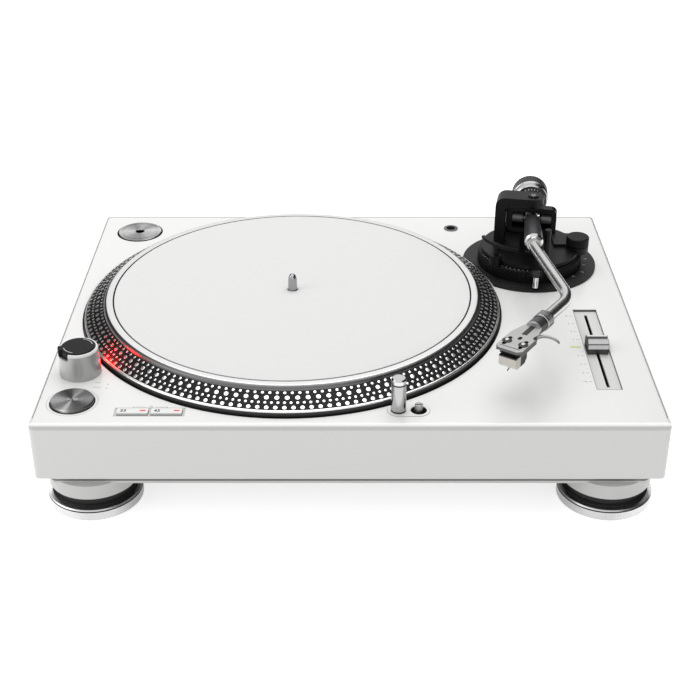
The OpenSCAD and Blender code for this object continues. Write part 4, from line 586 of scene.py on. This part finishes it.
# %% [markdown]
# ## Helpers for modelling
# New pieces are modelled as by hand: add a primitive, edit it, finish it. Before anything is added, all
# that was selected is let go, because an operator acts on everything that is selected.


# %% Define the helpers for modelling
def let_go():
    """Deselects everything."""
    for piece in bpy.context.selected_objects:
        piece.select_set(False)


def take(name):
    """Names the piece that was just added and opens it in edit mode."""
    piece = bpy.context.object
    piece.name = name
    piece.data.name = name
    bpy.ops.object.mode_set(mode="EDIT")
    return piece


def disc(name, corners, radius, place, rotation=(0, 0, 0)):
    """Adds a filled circle and leaves it in edit mode with all of it selected."""
    let_go()
    bpy.ops.mesh.primitive_circle_add(vertices=corners, radius=radius, fill_type="NGON", location=place,
                                      rotation=rotation)
    bpy.ops.object.transform_apply(location=True, rotation=True, scale=True)
    piece = take(name)
    bpy.ops.mesh.select_all(action="SELECT")
    return piece


def face_out():
    """Selects all of a piece in edit mode and turns its faces outwards."""
    bpy.ops.mesh.select_all(action="SELECT")
    bpy.ops.mesh.normals_make_consistent(inside=False)


def settle(piece, body, material, angle=35):
    """Closes a piece: its place goes into its mesh, it gets its finish and it rides on its body."""
    if bpy.context.mode != "OBJECT":
        bpy.ops.object.mode_set(mode="OBJECT")
    let_go()
    piece.select_set(True)
    bpy.context.view_layer.objects.active = piece
    bpy.ops.object.transform_apply(location=True, rotation=True, scale=True)
    bpy.ops.object.shade_smooth_by_angle(angle=math.radians(angle))
    piece.data.materials.clear()
    piece.data.materials.append(material)
    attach(piece, body)
    print(piece.name, "has", len(piece.data.polygons), "faces")


# %% [markdown]
# ## Strobe dots
# Four rows of raised dots run round the slope. Under the strobe lamp one row stands still at each speed.
# One dot is modelled at the right of the slope, as a low button with a bevelled edge, and spun round the
# spindle as copies. A picture of dots would be quicker, but it would not catch the light at their edges.

# %% Raise the strobe dots
SLOPE_TOP = Vector((LIP_R, DECK + 12.2 * MM))
SLOPE_FOOT = Vector((164.6 * MM, DECK + 4.6 * MM))
SLOPE_TILT = math.atan2(SLOPE_TOP.y - SLOPE_FOOT.y, SLOPE_FOOT.x - SLOPE_TOP.x)
DOT_RISE = Vector((math.sin(SLOPE_TILT), 0, math.cos(SLOPE_TILT))) * 0.25 * MM
DOT_CROWN = 0.08 * MM
DOT_BEVEL = 0.25
DOT_ROWS = [("first", 180, 0.115, 1.05), ("second", 133, 0.362, 1.65),
            ("third", 216, 0.614, 1.0), ("fourth", 160, 0.865, 1.5)]
dot_metal = finish("polished aluminium dots", "f0f0ee", 0.25, metallic=0.85, grain=0.3, vary=0.02)

for row, count, share, dot_r in DOT_ROWS:
    spot = SLOPE_TOP.lerp(SLOPE_FOOT, share)
    piece = disc("strobe_dots_" + row, 12, dot_r * MM, (SPINDLE.x + spot.x, SPINDLE.y, spot.y),
                 (0, SLOPE_TILT, 0))
    bpy.ops.mesh.extrude_region_move(TRANSFORM_OT_translate={"value": DOT_RISE})
    bpy.ops.mesh.inset(thickness=DOT_BEVEL * dot_r * MM, depth=DOT_CROWN)
    face_out()
    bpy.ops.mesh.spin(steps=count - 1, dupli=True, angle=math.tau * (count - 1) / count,
                      center=SPINDLE, axis=(0, 0, 1))
    settle(piece, "platter", dot_metal)

# %% [markdown]
# ## Slip mat
# A disc of pressed felt, 1.4 mm thick, lies loose on the platter so that a record can be held while the
# platter turns. It starts as a ring of edges, is filled inwards by scaled extrusions, and gets its
# thickness and soft edge from modifiers.

# %% Cut the felt mat
low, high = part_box("slipmat")
MAT_R = (high.x - low.x) / 2
MAT_T = high.z - low.z
HOLE_R = 4.38 * MM
MAT_RINGS = 12
MAT_EDGE = 0.4 * MM

felt = finish("pressed wool felt", "e5e5e4", 0.95, grain=0.5, bump=0.10, vary=0.02, uneven=0.02,
              Sheen_Weight=0.2, Sheen_Roughness=0.5)
let_go()
bpy.ops.mesh.primitive_circle_add(vertices=160, radius=MAT_R, fill_type="NOTHING",
                                  location=(SPINDLE.x, SPINDLE.y, high.z))
mat = take("felt_slipmat")
bpy.ops.mesh.select_all(action="SELECT")
for ring in range(1, MAT_RINGS + 1):
    radius_now = MAT_R + (HOLE_R - MAT_R) * (ring - 1) / MAT_RINGS
    radius_next = MAT_R + (HOLE_R - MAT_R) * ring / MAT_RINGS
    bpy.ops.mesh.extrude_edges_move()
    shrink = radius_next / radius_now
    bpy.ops.transform.resize(value=(shrink, shrink, 1), center_override=(SPINDLE.x, SPINDLE.y, high.z))
face_out()
bpy.ops.object.mode_set(mode="OBJECT")
if mat.data.polygons[0].normal.z < 0:
    bpy.ops.object.mode_set(mode="EDIT")
    bpy.ops.mesh.flip_normals()
    bpy.ops.object.mode_set(mode="OBJECT")
thick = mat.modifiers.new("thickness", "SOLIDIFY")
thick.thickness = MAT_T
thick.offset = -1
bpy.ops.object.modifier_apply(modifier=thick.name)
soft_edge = mat.modifiers.new("soft edge", "BEVEL")
soft_edge.width = MAT_EDGE
soft_edge.segments = 3
soft_edge.limit_method = "ANGLE"
bpy.ops.object.modifier_apply(modifier=soft_edge.name)
settle(mat, "slipmat", felt)
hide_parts("slipmat")

# %% [markdown]
# ## Printed marks
# The deck carries printed ticks and plain numbers. Ink is modelled as a skin 0.03 mm thick on the deck, so
# it is there from every side. A flat plate makes a tick, and a text object turned to a mesh makes a
# number.

# %% Define how ink is laid
INK = 0.03 * MM
black_ink = finish("black screen ink", "1c1c1d", 0.5, grain=0.4, vary=0.1)
# Grey ink also draws the line of painted shade round the lamp's plate.
grey_ink_and_shade = finish("grey screen ink and painted shade", "9a9a9a", 0.5, grain=0.4, vary=0.06)
white_ink = finish("white screen ink", "d4d4d4", 0.5, grain=0.4, vary=0.05)


def plate(name, place, length, width, turn):
    """Adds a flat plate, along x before it is turned, and leaves it in edit mode with all of it selected."""
    let_go()
    bpy.ops.mesh.primitive_plane_add(size=1, location=place, rotation=(0, 0, turn))
    bpy.context.object.scale = (length, width, 1)
    bpy.ops.object.transform_apply(location=True, rotation=True, scale=True)
    piece = take(name)
    bpy.ops.mesh.select_all(action="SELECT")
    return piece


def raise_ink(way):
    """Gives what is selected the thickness of ink along a direction."""
    bpy.ops.mesh.extrude_region_move(TRANSFORM_OT_translate={"value": way * INK})
    face_out()


def tick(name, x, y, z, length, width, turn=0.0):
    """A printed line, centred at a place, along x before it is turned."""
    piece = plate(name, (x, y, z), length, width, turn)
    raise_ink(UP)
    bpy.ops.object.mode_set(mode="OBJECT")
    return piece


def number(name, text, x, y, z, height, bold=0.0):
    """A printed number as a mesh, centred at a place. Bold strokes are wider by that much on each side."""
    let_go()
    bpy.ops.object.text_add(location=(x, y, z))
    writing = bpy.context.object
    writing.data.body = text
    writing.data.size = height
    writing.data.align_x = "CENTER"
    writing.data.align_y = "CENTER"
    writing.data.extrude = INK / 2
    writing.data.offset = bold
    writing.data.resolution_u = 3
    bpy.ops.object.convert(target="MESH")
    piece = bpy.context.object
    piece.name = name
    return piece


def join(name, pieces):
    """Joins printed marks into one piece."""
    let_go()
    for piece in pieces:
        piece.select_set(True)
    bpy.context.view_layer.objects.active = pieces[0]
    bpy.ops.object.join()
    whole = bpy.context.object
    whole.name = name
    whole.data.name = name
    return whole


def fan(name, centre, z, radius, length, width, angles):
    """Ticks that point at a centre, at a radius and at angles in degrees."""
    made = []
    for angle in angles:
        turn = math.radians(angle)
        made.append(tick(name, centre.x + radius * math.cos(turn), centre.y + radius * math.sin(turn), z,
                         length, width, turn))
    return join(name, made)


# %% [markdown]
# ## Scale of the fader
# The scale counts from 2 to 8 on both sides of the middle, with a short tick half way between. A lime mark
# shows the middle, and a thin frame line runs along two sides of the panel. A loop lays it all from one
# step, so the spacing is even.

# %% Print the fader's scale
SCALE_X = 176.2 * MM
SCALE_NUMBER_X = 172.8 * MM
SCALE_STEP = 12.6 * MM
SIGN_SHIFT = 0.6 * MM
FRAME_W = 0.5 * MM

fader = middle("tempo_panel")
marks = []
for step in (-4, -3, -2, -1, 1, 2, 3, 4):
    y = fader.y + step * SCALE_STEP
    sign = "" if abs(step) < 4 else "-" if step > 0 else "+"
    number_x = SCALE_NUMBER_X - SIGN_SHIFT * len(sign)
    marks.append(tick("mark", SCALE_X, y, DECK, 2.6 * MM, 0.45 * MM))
    marks.append(number("mark", sign + str(2 * abs(step)), number_x, y, DECK, 3.0 * MM))
    half = y - math.copysign(SCALE_STEP / 2, step)
    marks.append(tick("mark", SCALE_X + 0.7 * MM, half, DECK, 1.2 * MM, 0.25 * MM))
settle(join("fader_scale", marks), "chassis", grey_ink_and_shade)
low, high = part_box("tempo_panel")
frame_lines = [tick("line", low.x - FRAME_W / 2, fader.y, DECK, FRAME_W, high.y - low.y),
               tick("line", fader.x, low.y - FRAME_W / 2, DECK, high.x - low.x, FRAME_W)]
settle(join("fader_frame", frame_lines), "chassis", grey_ink_and_shade)
lime = finish("lime marker ink", "b2d02e", 0.4, grain=0.5, vary=0.03)
settle(tick("fader_centre_mark", 172.6 * MM, fader.y + 0.6 * MM, DECK, 8.0 * MM, 1.6 * MM),
       "chassis", lime)

# %% [markdown]
# ## Marks by the buttons
# The speed buttons carry the plain numbers 33 and 45 and a small red window each. A thin bracket over both
# says that pressing them together gives 78. The start button has the common triangle and square.

# %% Print the marks by the buttons
BUTTON_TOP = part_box("speed_button_33")[1].z
lamp_red = finish("red window", "c02018", 0.25, grain=0.5, vary=0.08,
                  Emission_Color=colour("ff3020"), Emission_Strength=0.35)
for text, node in (("33", "speed_button_33"), ("45", "speed_button_45")):
    spot = middle(node)
    digits = number("number_" + text, text, spot.x - 6.6 * MM, spot.y, BUTTON_TOP, 4.6 * MM, bold=0.12 * MM)
    settle(digits, node, black_ink)
    window = tick("window_" + text, spot.x + 7.2 * MM, spot.y + 0.2 * MM, BUTTON_TOP, 4.2 * MM, 1.5 * MM)
    settle(window, node, lamp_red)

BRACKET_Y = -153.6 * MM
BRACKET_W = 0.4 * MM
bracket = [tick("bracket", -149.2 * MM, BRACKET_Y, DECK, 9.0 * MM, BRACKET_W),
           tick("bracket", -133.7 * MM, BRACKET_Y, DECK, 9.0 * MM, BRACKET_W),
           tick("bracket", -153.6 * MM, BRACKET_Y - 0.8 * MM, DECK, BRACKET_W, 1.6 * MM),
           tick("bracket", -129.3 * MM, BRACKET_Y - 0.8 * MM, DECK, BRACKET_W, 1.6 * MM),
           number("bracket", "78", -141.4 * MM, BRACKET_Y + 0.2 * MM, DECK, 3.2 * MM)]
settle(join("speed_bracket", bracket), "chassis", grey_ink_and_shade)

START_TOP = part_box("start_button")[1].z
MARK_SHIFT = 2.6 * MM
start = middle("start_button")
triangle = disc("start_mark", 3, 2.2 * MM, (start.x - MARK_SHIFT, start.y, START_TOP), (0, 0, -math.pi / 2))
raise_ink(UP)
bpy.ops.object.mode_set(mode="OBJECT")
square = tick("start_mark", start.x + MARK_SHIFT, start.y, START_TOP, 3.2 * MM, 3.2 * MM)
settle(join("start_mark", [triangle, square]), "start_button", grey_ink_and_shade)

# %% [markdown]
# ## Marks on the tower and the arm
# The power knob has two thin arcs that show its way. The arm's base has a scale for its height, and the
# flange has index ticks. An arc could be a curve, but a fan of short ticks needs no new kind of piece.

# %% Print the marks on the tower and the arm
ARC_R = 10.4 * MM
POWER_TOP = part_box("power_knob")[1].z
power = middle("strobe_tower")
arc_angles = [first + 5 * step for first in (20, 200) for step in range(12)]
settle(fan("power_arcs", power, POWER_TOP, ARC_R, 0.5 * MM, 0.95 * MM, arc_angles),
       "power_knob", white_ink)

dashes = [tick("dash", -184.4 * MM, -120.3 * MM, DECK, 4.5 * MM, 0.5 * MM),
          tick("dash", -183.9 * MM, -126.7 * MM, DECK, 5.6 * MM, 0.5 * MM),
          tick("dash", -176.6 * MM, -122.4 * MM, DECK, 1.0 * MM, 1.0 * MM),
          tick("dash", -176.7 * MM, -128.2 * MM, DECK, 1.0 * MM, 1.0 * MM)]
settle(join("power_dashes", dashes), "chassis", grey_ink_and_shade)

FLANGE_TOP = DECK + 2 * MM
index = []
for x, y in ((202.9, 81.9), (199.7, 70.1), (196.6, 56.5), (187.7, 48.5)):
    turn = math.atan2(y * MM - PIVOT.y, x * MM - PIVOT.x)
    index.append(tick("index", x * MM, y * MM, FLANGE_TOP, 2.6 * MM, 0.5 * MM, turn))
settle(join("flange_index", index), "chassis", white_ink)
RING_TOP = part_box("height_ring")[1].z
settle(fan("height_scale", PIVOT, RING_TOP, 42.0 * MM, 1.5 * MM, 0.35 * MM, range(196, 262, 5)),
       "height_ring", white_ink)

# %% [markdown]
# ## Marks of the tracking dial
# The dial behind the arm sets the tracking force and is marked all round. One mark is laid on top of its
# rim, raised along the radius and spun round the axis, which keeps every mark square to the rim.

# %% Mark the tracking dial
DIAL_BACK = 31.4 * MM
DIAL_R = 12.6 * MM
DIAL_SINK = 0.01 * MM
DIAL_MARKS = 30
level = HUB_DIR.cross(UP).normalized()
over = level.cross(HUB_DIR)
spot = PIVOT - HUB_DIR * DIAL_BACK
spot.z = middle("tracking_dial").z
spot = spot + over * (DIAL_R - DIAL_SINK)
dial_marks = plate("dial_marks", spot, 2.4 * MM, 0.35 * MM, math.atan2(HUB_DIR.y, HUB_DIR.x))
raise_ink(over)
bpy.ops.mesh.spin(steps=DIAL_MARKS - 1, dupli=True, angle=math.tau * (DIAL_MARKS - 1) / DIAL_MARKS,
                  center=spot - over * DIAL_R, axis=HUB_DIR)
settle(dial_marks, "tracking_dial", white_ink)

# %% [markdown]
# ## Screws and liner
# Two screws hold the cartridge in the headshell's slots. A black disc under each head stands for the black
# mount and the shade seen through the slot, and a dark sheet in the long slot over the contacts is painted
# shade. They
# are small, so they are modelled here: a disc is extruded and its top is inset.


# %% Model the screws and the dark discs and sheet in the slots
def on_shell(forward, aside, above):
    """A place in the headshell's own directions, in mm from the collar."""
    return SHELL_SEAT + (SHELL_DIR * forward + SHELL_SIDE * aside + SHELL_UP * above) * MM


def button(name, place, radius, rise):
    """A low round button with a bevelled top."""
    piece = disc(name, 20, radius, place)
    bpy.ops.mesh.extrude_region_move(TRANSFORM_OT_translate={"value": UP * rise * 0.7})
    bpy.ops.mesh.inset(thickness=0.18 * radius, depth=rise * 0.3)
    face_out()
    bpy.ops.object.mode_set(mode="OBJECT")
    return piece


SHELL_TOP = 2.6
SCREW_X = 38.5
SCREW_SIDES = (-6.35, 6.35)
mount_and_shade_discs = []
heads = []
# Each black disc under a head stands for the black mount and painted shade seen through the slot.
for aside in SCREW_SIDES:
    mount_and_shade_discs.append(button("washer", on_shell(SCREW_X, aside, SHELL_TOP), 3.6 * MM, 0.35 * MM))
    heads.append(button("head", on_shell(SCREW_X, aside, SHELL_TOP + 0.3), 1.55 * MM, 0.9 * MM))
black_mount_and_shade = finish("black mount and painted shade", "0c0c0d", 0.5, grain=0.3, vary=0.15)
screw_steel = finish("bright screw steel", "e0e0e0", 0.25, metallic=0.8, grain=0.3, vary=0.03)
settle(join("screw_mount_and_shade_discs", mount_and_shade_discs), "arm", black_mount_and_shade)
settle(join("screw_heads", heads), "arm", screw_steel)
# Painted shade: a dark sheet in the long slot, where it looks dark inside.
turn = math.atan2(SHELL_DIR.y, SHELL_DIR.x)
spot = on_shell(17.5, 0, SHELL_TOP)
slot_shade = [tick("slot_shade", spot.x, spot.y, spot.z, 15.0 * MM, 4.0 * MM, turn)]
spot = on_shell(46.2, 0, SHELL_TOP)
slot_shade.append(tick("slot_shade", spot.x, spot.y, spot.z, 0.7 * MM, 16.0 * MM, turn))
settle(join("shell_slot_shade", slot_shade), "arm", black_mount_and_shade)

# %% [markdown]
# ## Finger lift
# The finger lift is a tapered rod that arches off the shell's side. A curve with a round section could
# draw it, but it would not taper so freely. So it grows from a disc, step by step, each step moved and
# scaled, and is then smoothed. It takes the place of the plain rod.

# %% Grow the finger lift
FINGER_PATH = [(26.0, 7.6, 1.1, 1.9), (25.4, 9.6, 3.0, 1.75), (25.0, 12.5, 5.0, 1.5),
               (24.7, 16.0, 6.3, 1.3), (24.4, 19.5, 6.6, 1.15), (24.3, 23.0, 6.1, 1.05),
               (24.3, 26.0, 5.0, 1.0), (24.4, 27.6, 3.7, 0.85)]
side_turn = math.atan2(SHELL_SIDE.y, SHELL_SIDE.x)
finger = disc("finger_rod", 12, FINGER_PATH[0][3] * MM, on_shell(*FINGER_PATH[0][:3]),
              (math.pi / 2, 0, side_turn + math.pi / 2))
for before, after in zip(FINGER_PATH, FINGER_PATH[1:]):
    start_at = on_shell(*before[:3])
    end_at = on_shell(*after[:3])
    bpy.ops.mesh.extrude_region_move(TRANSFORM_OT_translate={"value": end_at - start_at})
    shrink = after[3] / before[3]
    bpy.ops.transform.resize(value=(shrink, shrink, shrink), center_override=end_at)
face_out()
bpy.ops.object.mode_set(mode="OBJECT")
smooth = finger.modifiers.new("smooth", "SUBSURF")
smooth.levels = 2
smooth.render_levels = 2
bpy.ops.object.modifier_apply(modifier=smooth.name)
settle(finger, "arm", finger_steel, angle=60)
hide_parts("finger_lift")

# %% [markdown]
# ## Guard behind the gimbal
# A low black wall stands behind the yoke and rises on the left, where it backs the bracket. It is two
# blocks with bevelled edges. It stays below the counterweight and clear of its swing.

# %% Build the guard
ARM_HEADING = math.radians(-100.8)
BASE_DIR = Vector((math.cos(ARM_HEADING), math.sin(ARM_HEADING), 0))
BASE_SIDE = UP.cross(BASE_DIR)
BLOCK_BEVEL = 0.6 * MM
GUARD_BACK = -25
GUARD_T = 2.4


def block(name, forward, aside, above, size):
    """A block with bevelled edges, by its centre in the arm base's directions and its size, in mm."""
    let_go()
    middle_at = Vector((PIVOT.x, PIVOT.y, DECK)) + (BASE_DIR * forward + BASE_SIDE * aside + UP * above) * MM
    bpy.ops.mesh.primitive_cube_add(size=1, location=middle_at, rotation=(0, 0, ARM_HEADING))
    bpy.context.object.scale = Vector(size) * MM
    bpy.ops.object.transform_apply(location=True, rotation=True, scale=True)
    piece = take(name)
    bpy.ops.mesh.select_all(action="SELECT")
    bpy.ops.mesh.bevel(offset=BLOCK_BEVEL, segments=2, affect="EDGES")
    bpy.ops.object.mode_set(mode="OBJECT")
    return piece


guard = [block("guard", GUARD_BACK, -3, 20.5, (GUARD_T, 46, 8)),
         block("guard", GUARD_BACK, -22, 31, (GUARD_T, 10, 29))]
settle(join("gimbal_guard", guard), "arm_base", powder_black)

# %% [markdown]
# ## Webs of the yoke
# A thin black web closes the back of the yoke on each side of the hub, so that nothing bright shows
# through it. One web is made as a block, and its twin is made on the other side. Both swing with the yoke.

# %% Close the back of the yoke
WEB_BACK = -4.6
WEB_ABOVE = 41.2
WEB_GAP = 5.8
WEB_OUT = 17.0
WEB_MIDDLE = (WEB_GAP + WEB_OUT) / 2
WEB_SIZE = (1.4, WEB_OUT - WEB_GAP, 15.4)
webs = [block("web", WEB_BACK, aside, WEB_ABOVE, WEB_SIZE) for aside in (-WEB_MIDDLE, WEB_MIDDLE)]
settle(join("yoke_webs", webs), "yoke", powder_black)

# %% [markdown]
# ## Painted shade round the lamp's plate
# A thin line of painted shade, in the grey ink of the printed marks, runs round the plate that the lamp and
# its button sit in. It is laid as short strokes: two straight ones and a half circle at each end.

# %% Paint the line of shade round the lamp's plate
OUTLINE_R = 8.0 * MM
OUTLINE_W = 0.4 * MM
lamp_at = middle("target_lamp")
button_at = middle("lamp_button")
half_way = (lamp_at.x + button_at.x) / 2
length = button_at.x - lamp_at.x
# Painted shade: grey strokes round the lamp's plate.
strokes = [tick("outline", half_way, lamp_at.y - OUTLINE_R, DECK, length, OUTLINE_W),
           tick("outline", half_way, lamp_at.y + OUTLINE_R, DECK, length, OUTLINE_W)]
for centre_x, first in ((lamp_at.x, 90), (button_at.x, -90)):
    centre = Vector((centre_x, lamp_at.y, 0))
    strokes.append(fan("outline", centre, DECK, OUTLINE_R, OUTLINE_W, 1.45 * MM,
                       range(first + 5, first + 180, 10)))
settle(join("lamp_plate_shade_line", strokes), "chassis", grey_ink_and_shade)

# %% [markdown]
# ## Studio
# A pale floor, a large soft box overhead and a weak fill give the even light of a product photograph. The
# floor is white to the camera and still takes the deck's shadow. Dark boards at both sides are seen only
# by reflections: they give the tube and the foot rings their dark side, as in a studio.

# %% Light the studio
SKY_LIGHT = 0.47
AIM = (0, 0, 0.05)
GLOW_TURN = math.radians(24)
GLOW_GAP = 4 * MM


def seen_directly(tree):
    """1 for rays from the camera, a mirror or a lens, 0 for light that falls on other things."""
    path = add(tree, "LightPath").outputs
    seen = maths(tree, "MAXIMUM", path["Is Camera Ray"], path["Is Glossy Ray"])
    return maths(tree, "MAXIMUM", seen, path["Is Transmission Ray"])


world = bpy.data.worlds.new("studio")
bpy.context.scene.world = world
world.use_nodes = True
sky = world.node_tree
strength = add(sky, "MapRange", {"Value": seen_directly(sky), "To Min": SKY_LIGHT, "To Max": 1.0})
sky.links.new(strength.outputs["Result"], sky.nodes["Background"].inputs["Strength"])
sky.nodes["Background"].inputs["Color"].default_value = (1, 1, 1, 1)


def softbox(name, place, target, size, watts, tint="ffffff"):
    """A square area lamp that looks at a point."""
    lamp = bpy.data.lights.new(name, "AREA")
    lamp.size = size
    lamp.energy = watts
    lamp.color = colour(tint)[:3]
    holder = bpy.data.objects.new(name, lamp)
    holder.location = place
    holder.rotation_euler = (Vector(target) - Vector(place)).to_track_quat("-Z", "Y").to_euler()
    bpy.context.scene.collection.objects.link(holder)


softbox("overhead", (0.0, 0.35, 1.6), AIM, 1.6, 17.5)
softbox("left fill", (-1.6, -0.6, 1.0), AIM, 1.0, 5)
softbox("front fill", (0.2, -2.2, 0.7), AIM, 1.2, 1.5)
lens = middle("strobe_lens")
to_platter = SPINDLE - lens
to_platter.z = 0
to_platter.normalize()
tower_axis = Vector((power.x, power.y, lens.z))
out_of_tower = lens - tower_axis
out_of_tower.rotate(Euler((0, 0, GLOW_TURN)))
glow_place = tower_axis + out_of_tower + out_of_tower.normalized() * GLOW_GAP
softbox("strobe glow", glow_place, glow_place + to_platter + UP * 0.1, 8 * MM, 0.028, "ff1008")
print("lamps set, the strobe glows at", tuple(round(v / MM, 1) for v in glow_place))

# %% [markdown]
# ## Floor and boards
# The floor is a sheet of white paper. It gives off some light of its own, which only the camera and
# mirrors see, so it stays white without lighting the deck from below. The boards are hidden from the
# camera and cast no shadow: only reflections show them.

# %% Lay the floor and set the boards
FLOOR_LIFT = 0.66
BOARD_DISTANCE = 2.0
BOARD_W = 0.86
BOARD_H = 2.4
BOARD_AZIMUTHS = (-40, -16, 8, 32, 56, 130, 154)

let_go()
bpy.ops.mesh.primitive_grid_add(x_subdivisions=4, y_subdivisions=4, size=8, location=(0, 1.5, 0))
floor = bpy.context.object
floor.name = "floor"
paper = finish("matt white paper", "f2f2f2", 0.9, grain=30, vary=0.002)
tree = paper.node_tree
lift = maths(tree, "MULTIPLY", seen_directly(tree), FLOOR_LIFT)
glow = add(tree, "Emission", {"Color": (1, 1, 1, 1), "Strength": lift})
plain = tree.nodes["Principled BSDF"].outputs["BSDF"]
whole = add(tree, "AddShader", {0: plain, 1: glow.outputs["Emission"]})
tree.links.new(whole.outputs["Shader"], tree.nodes["Material Output"].inputs["Surface"])
floor.data.materials.append(paper)

board_black = finish("black studio board", "050505", 0.9, grain=40, vary=0.1)
for number_of_board, azimuth in enumerate(BOARD_AZIMUTHS):
    turn = math.radians(azimuth)
    let_go()
    bpy.ops.mesh.primitive_grid_add(
        x_subdivisions=2, y_subdivisions=2, size=1,
        location=(BOARD_DISTANCE * math.cos(turn), BOARD_DISTANCE * math.sin(turn), BOARD_H / 2),
        rotation=(math.pi / 2, 0, turn + math.pi / 2))
    board = bpy.context.object
    board.name = "board_" + str(number_of_board)
    board.scale = (BOARD_W, BOARD_H, 1)
    board.data.materials.append(board_black)
    board.visible_camera = False
    board.visible_diffuse = False
    board.visible_shadow = False
bpy.context.scene.view_settings.view_transform = "Standard"
print("studio lit")
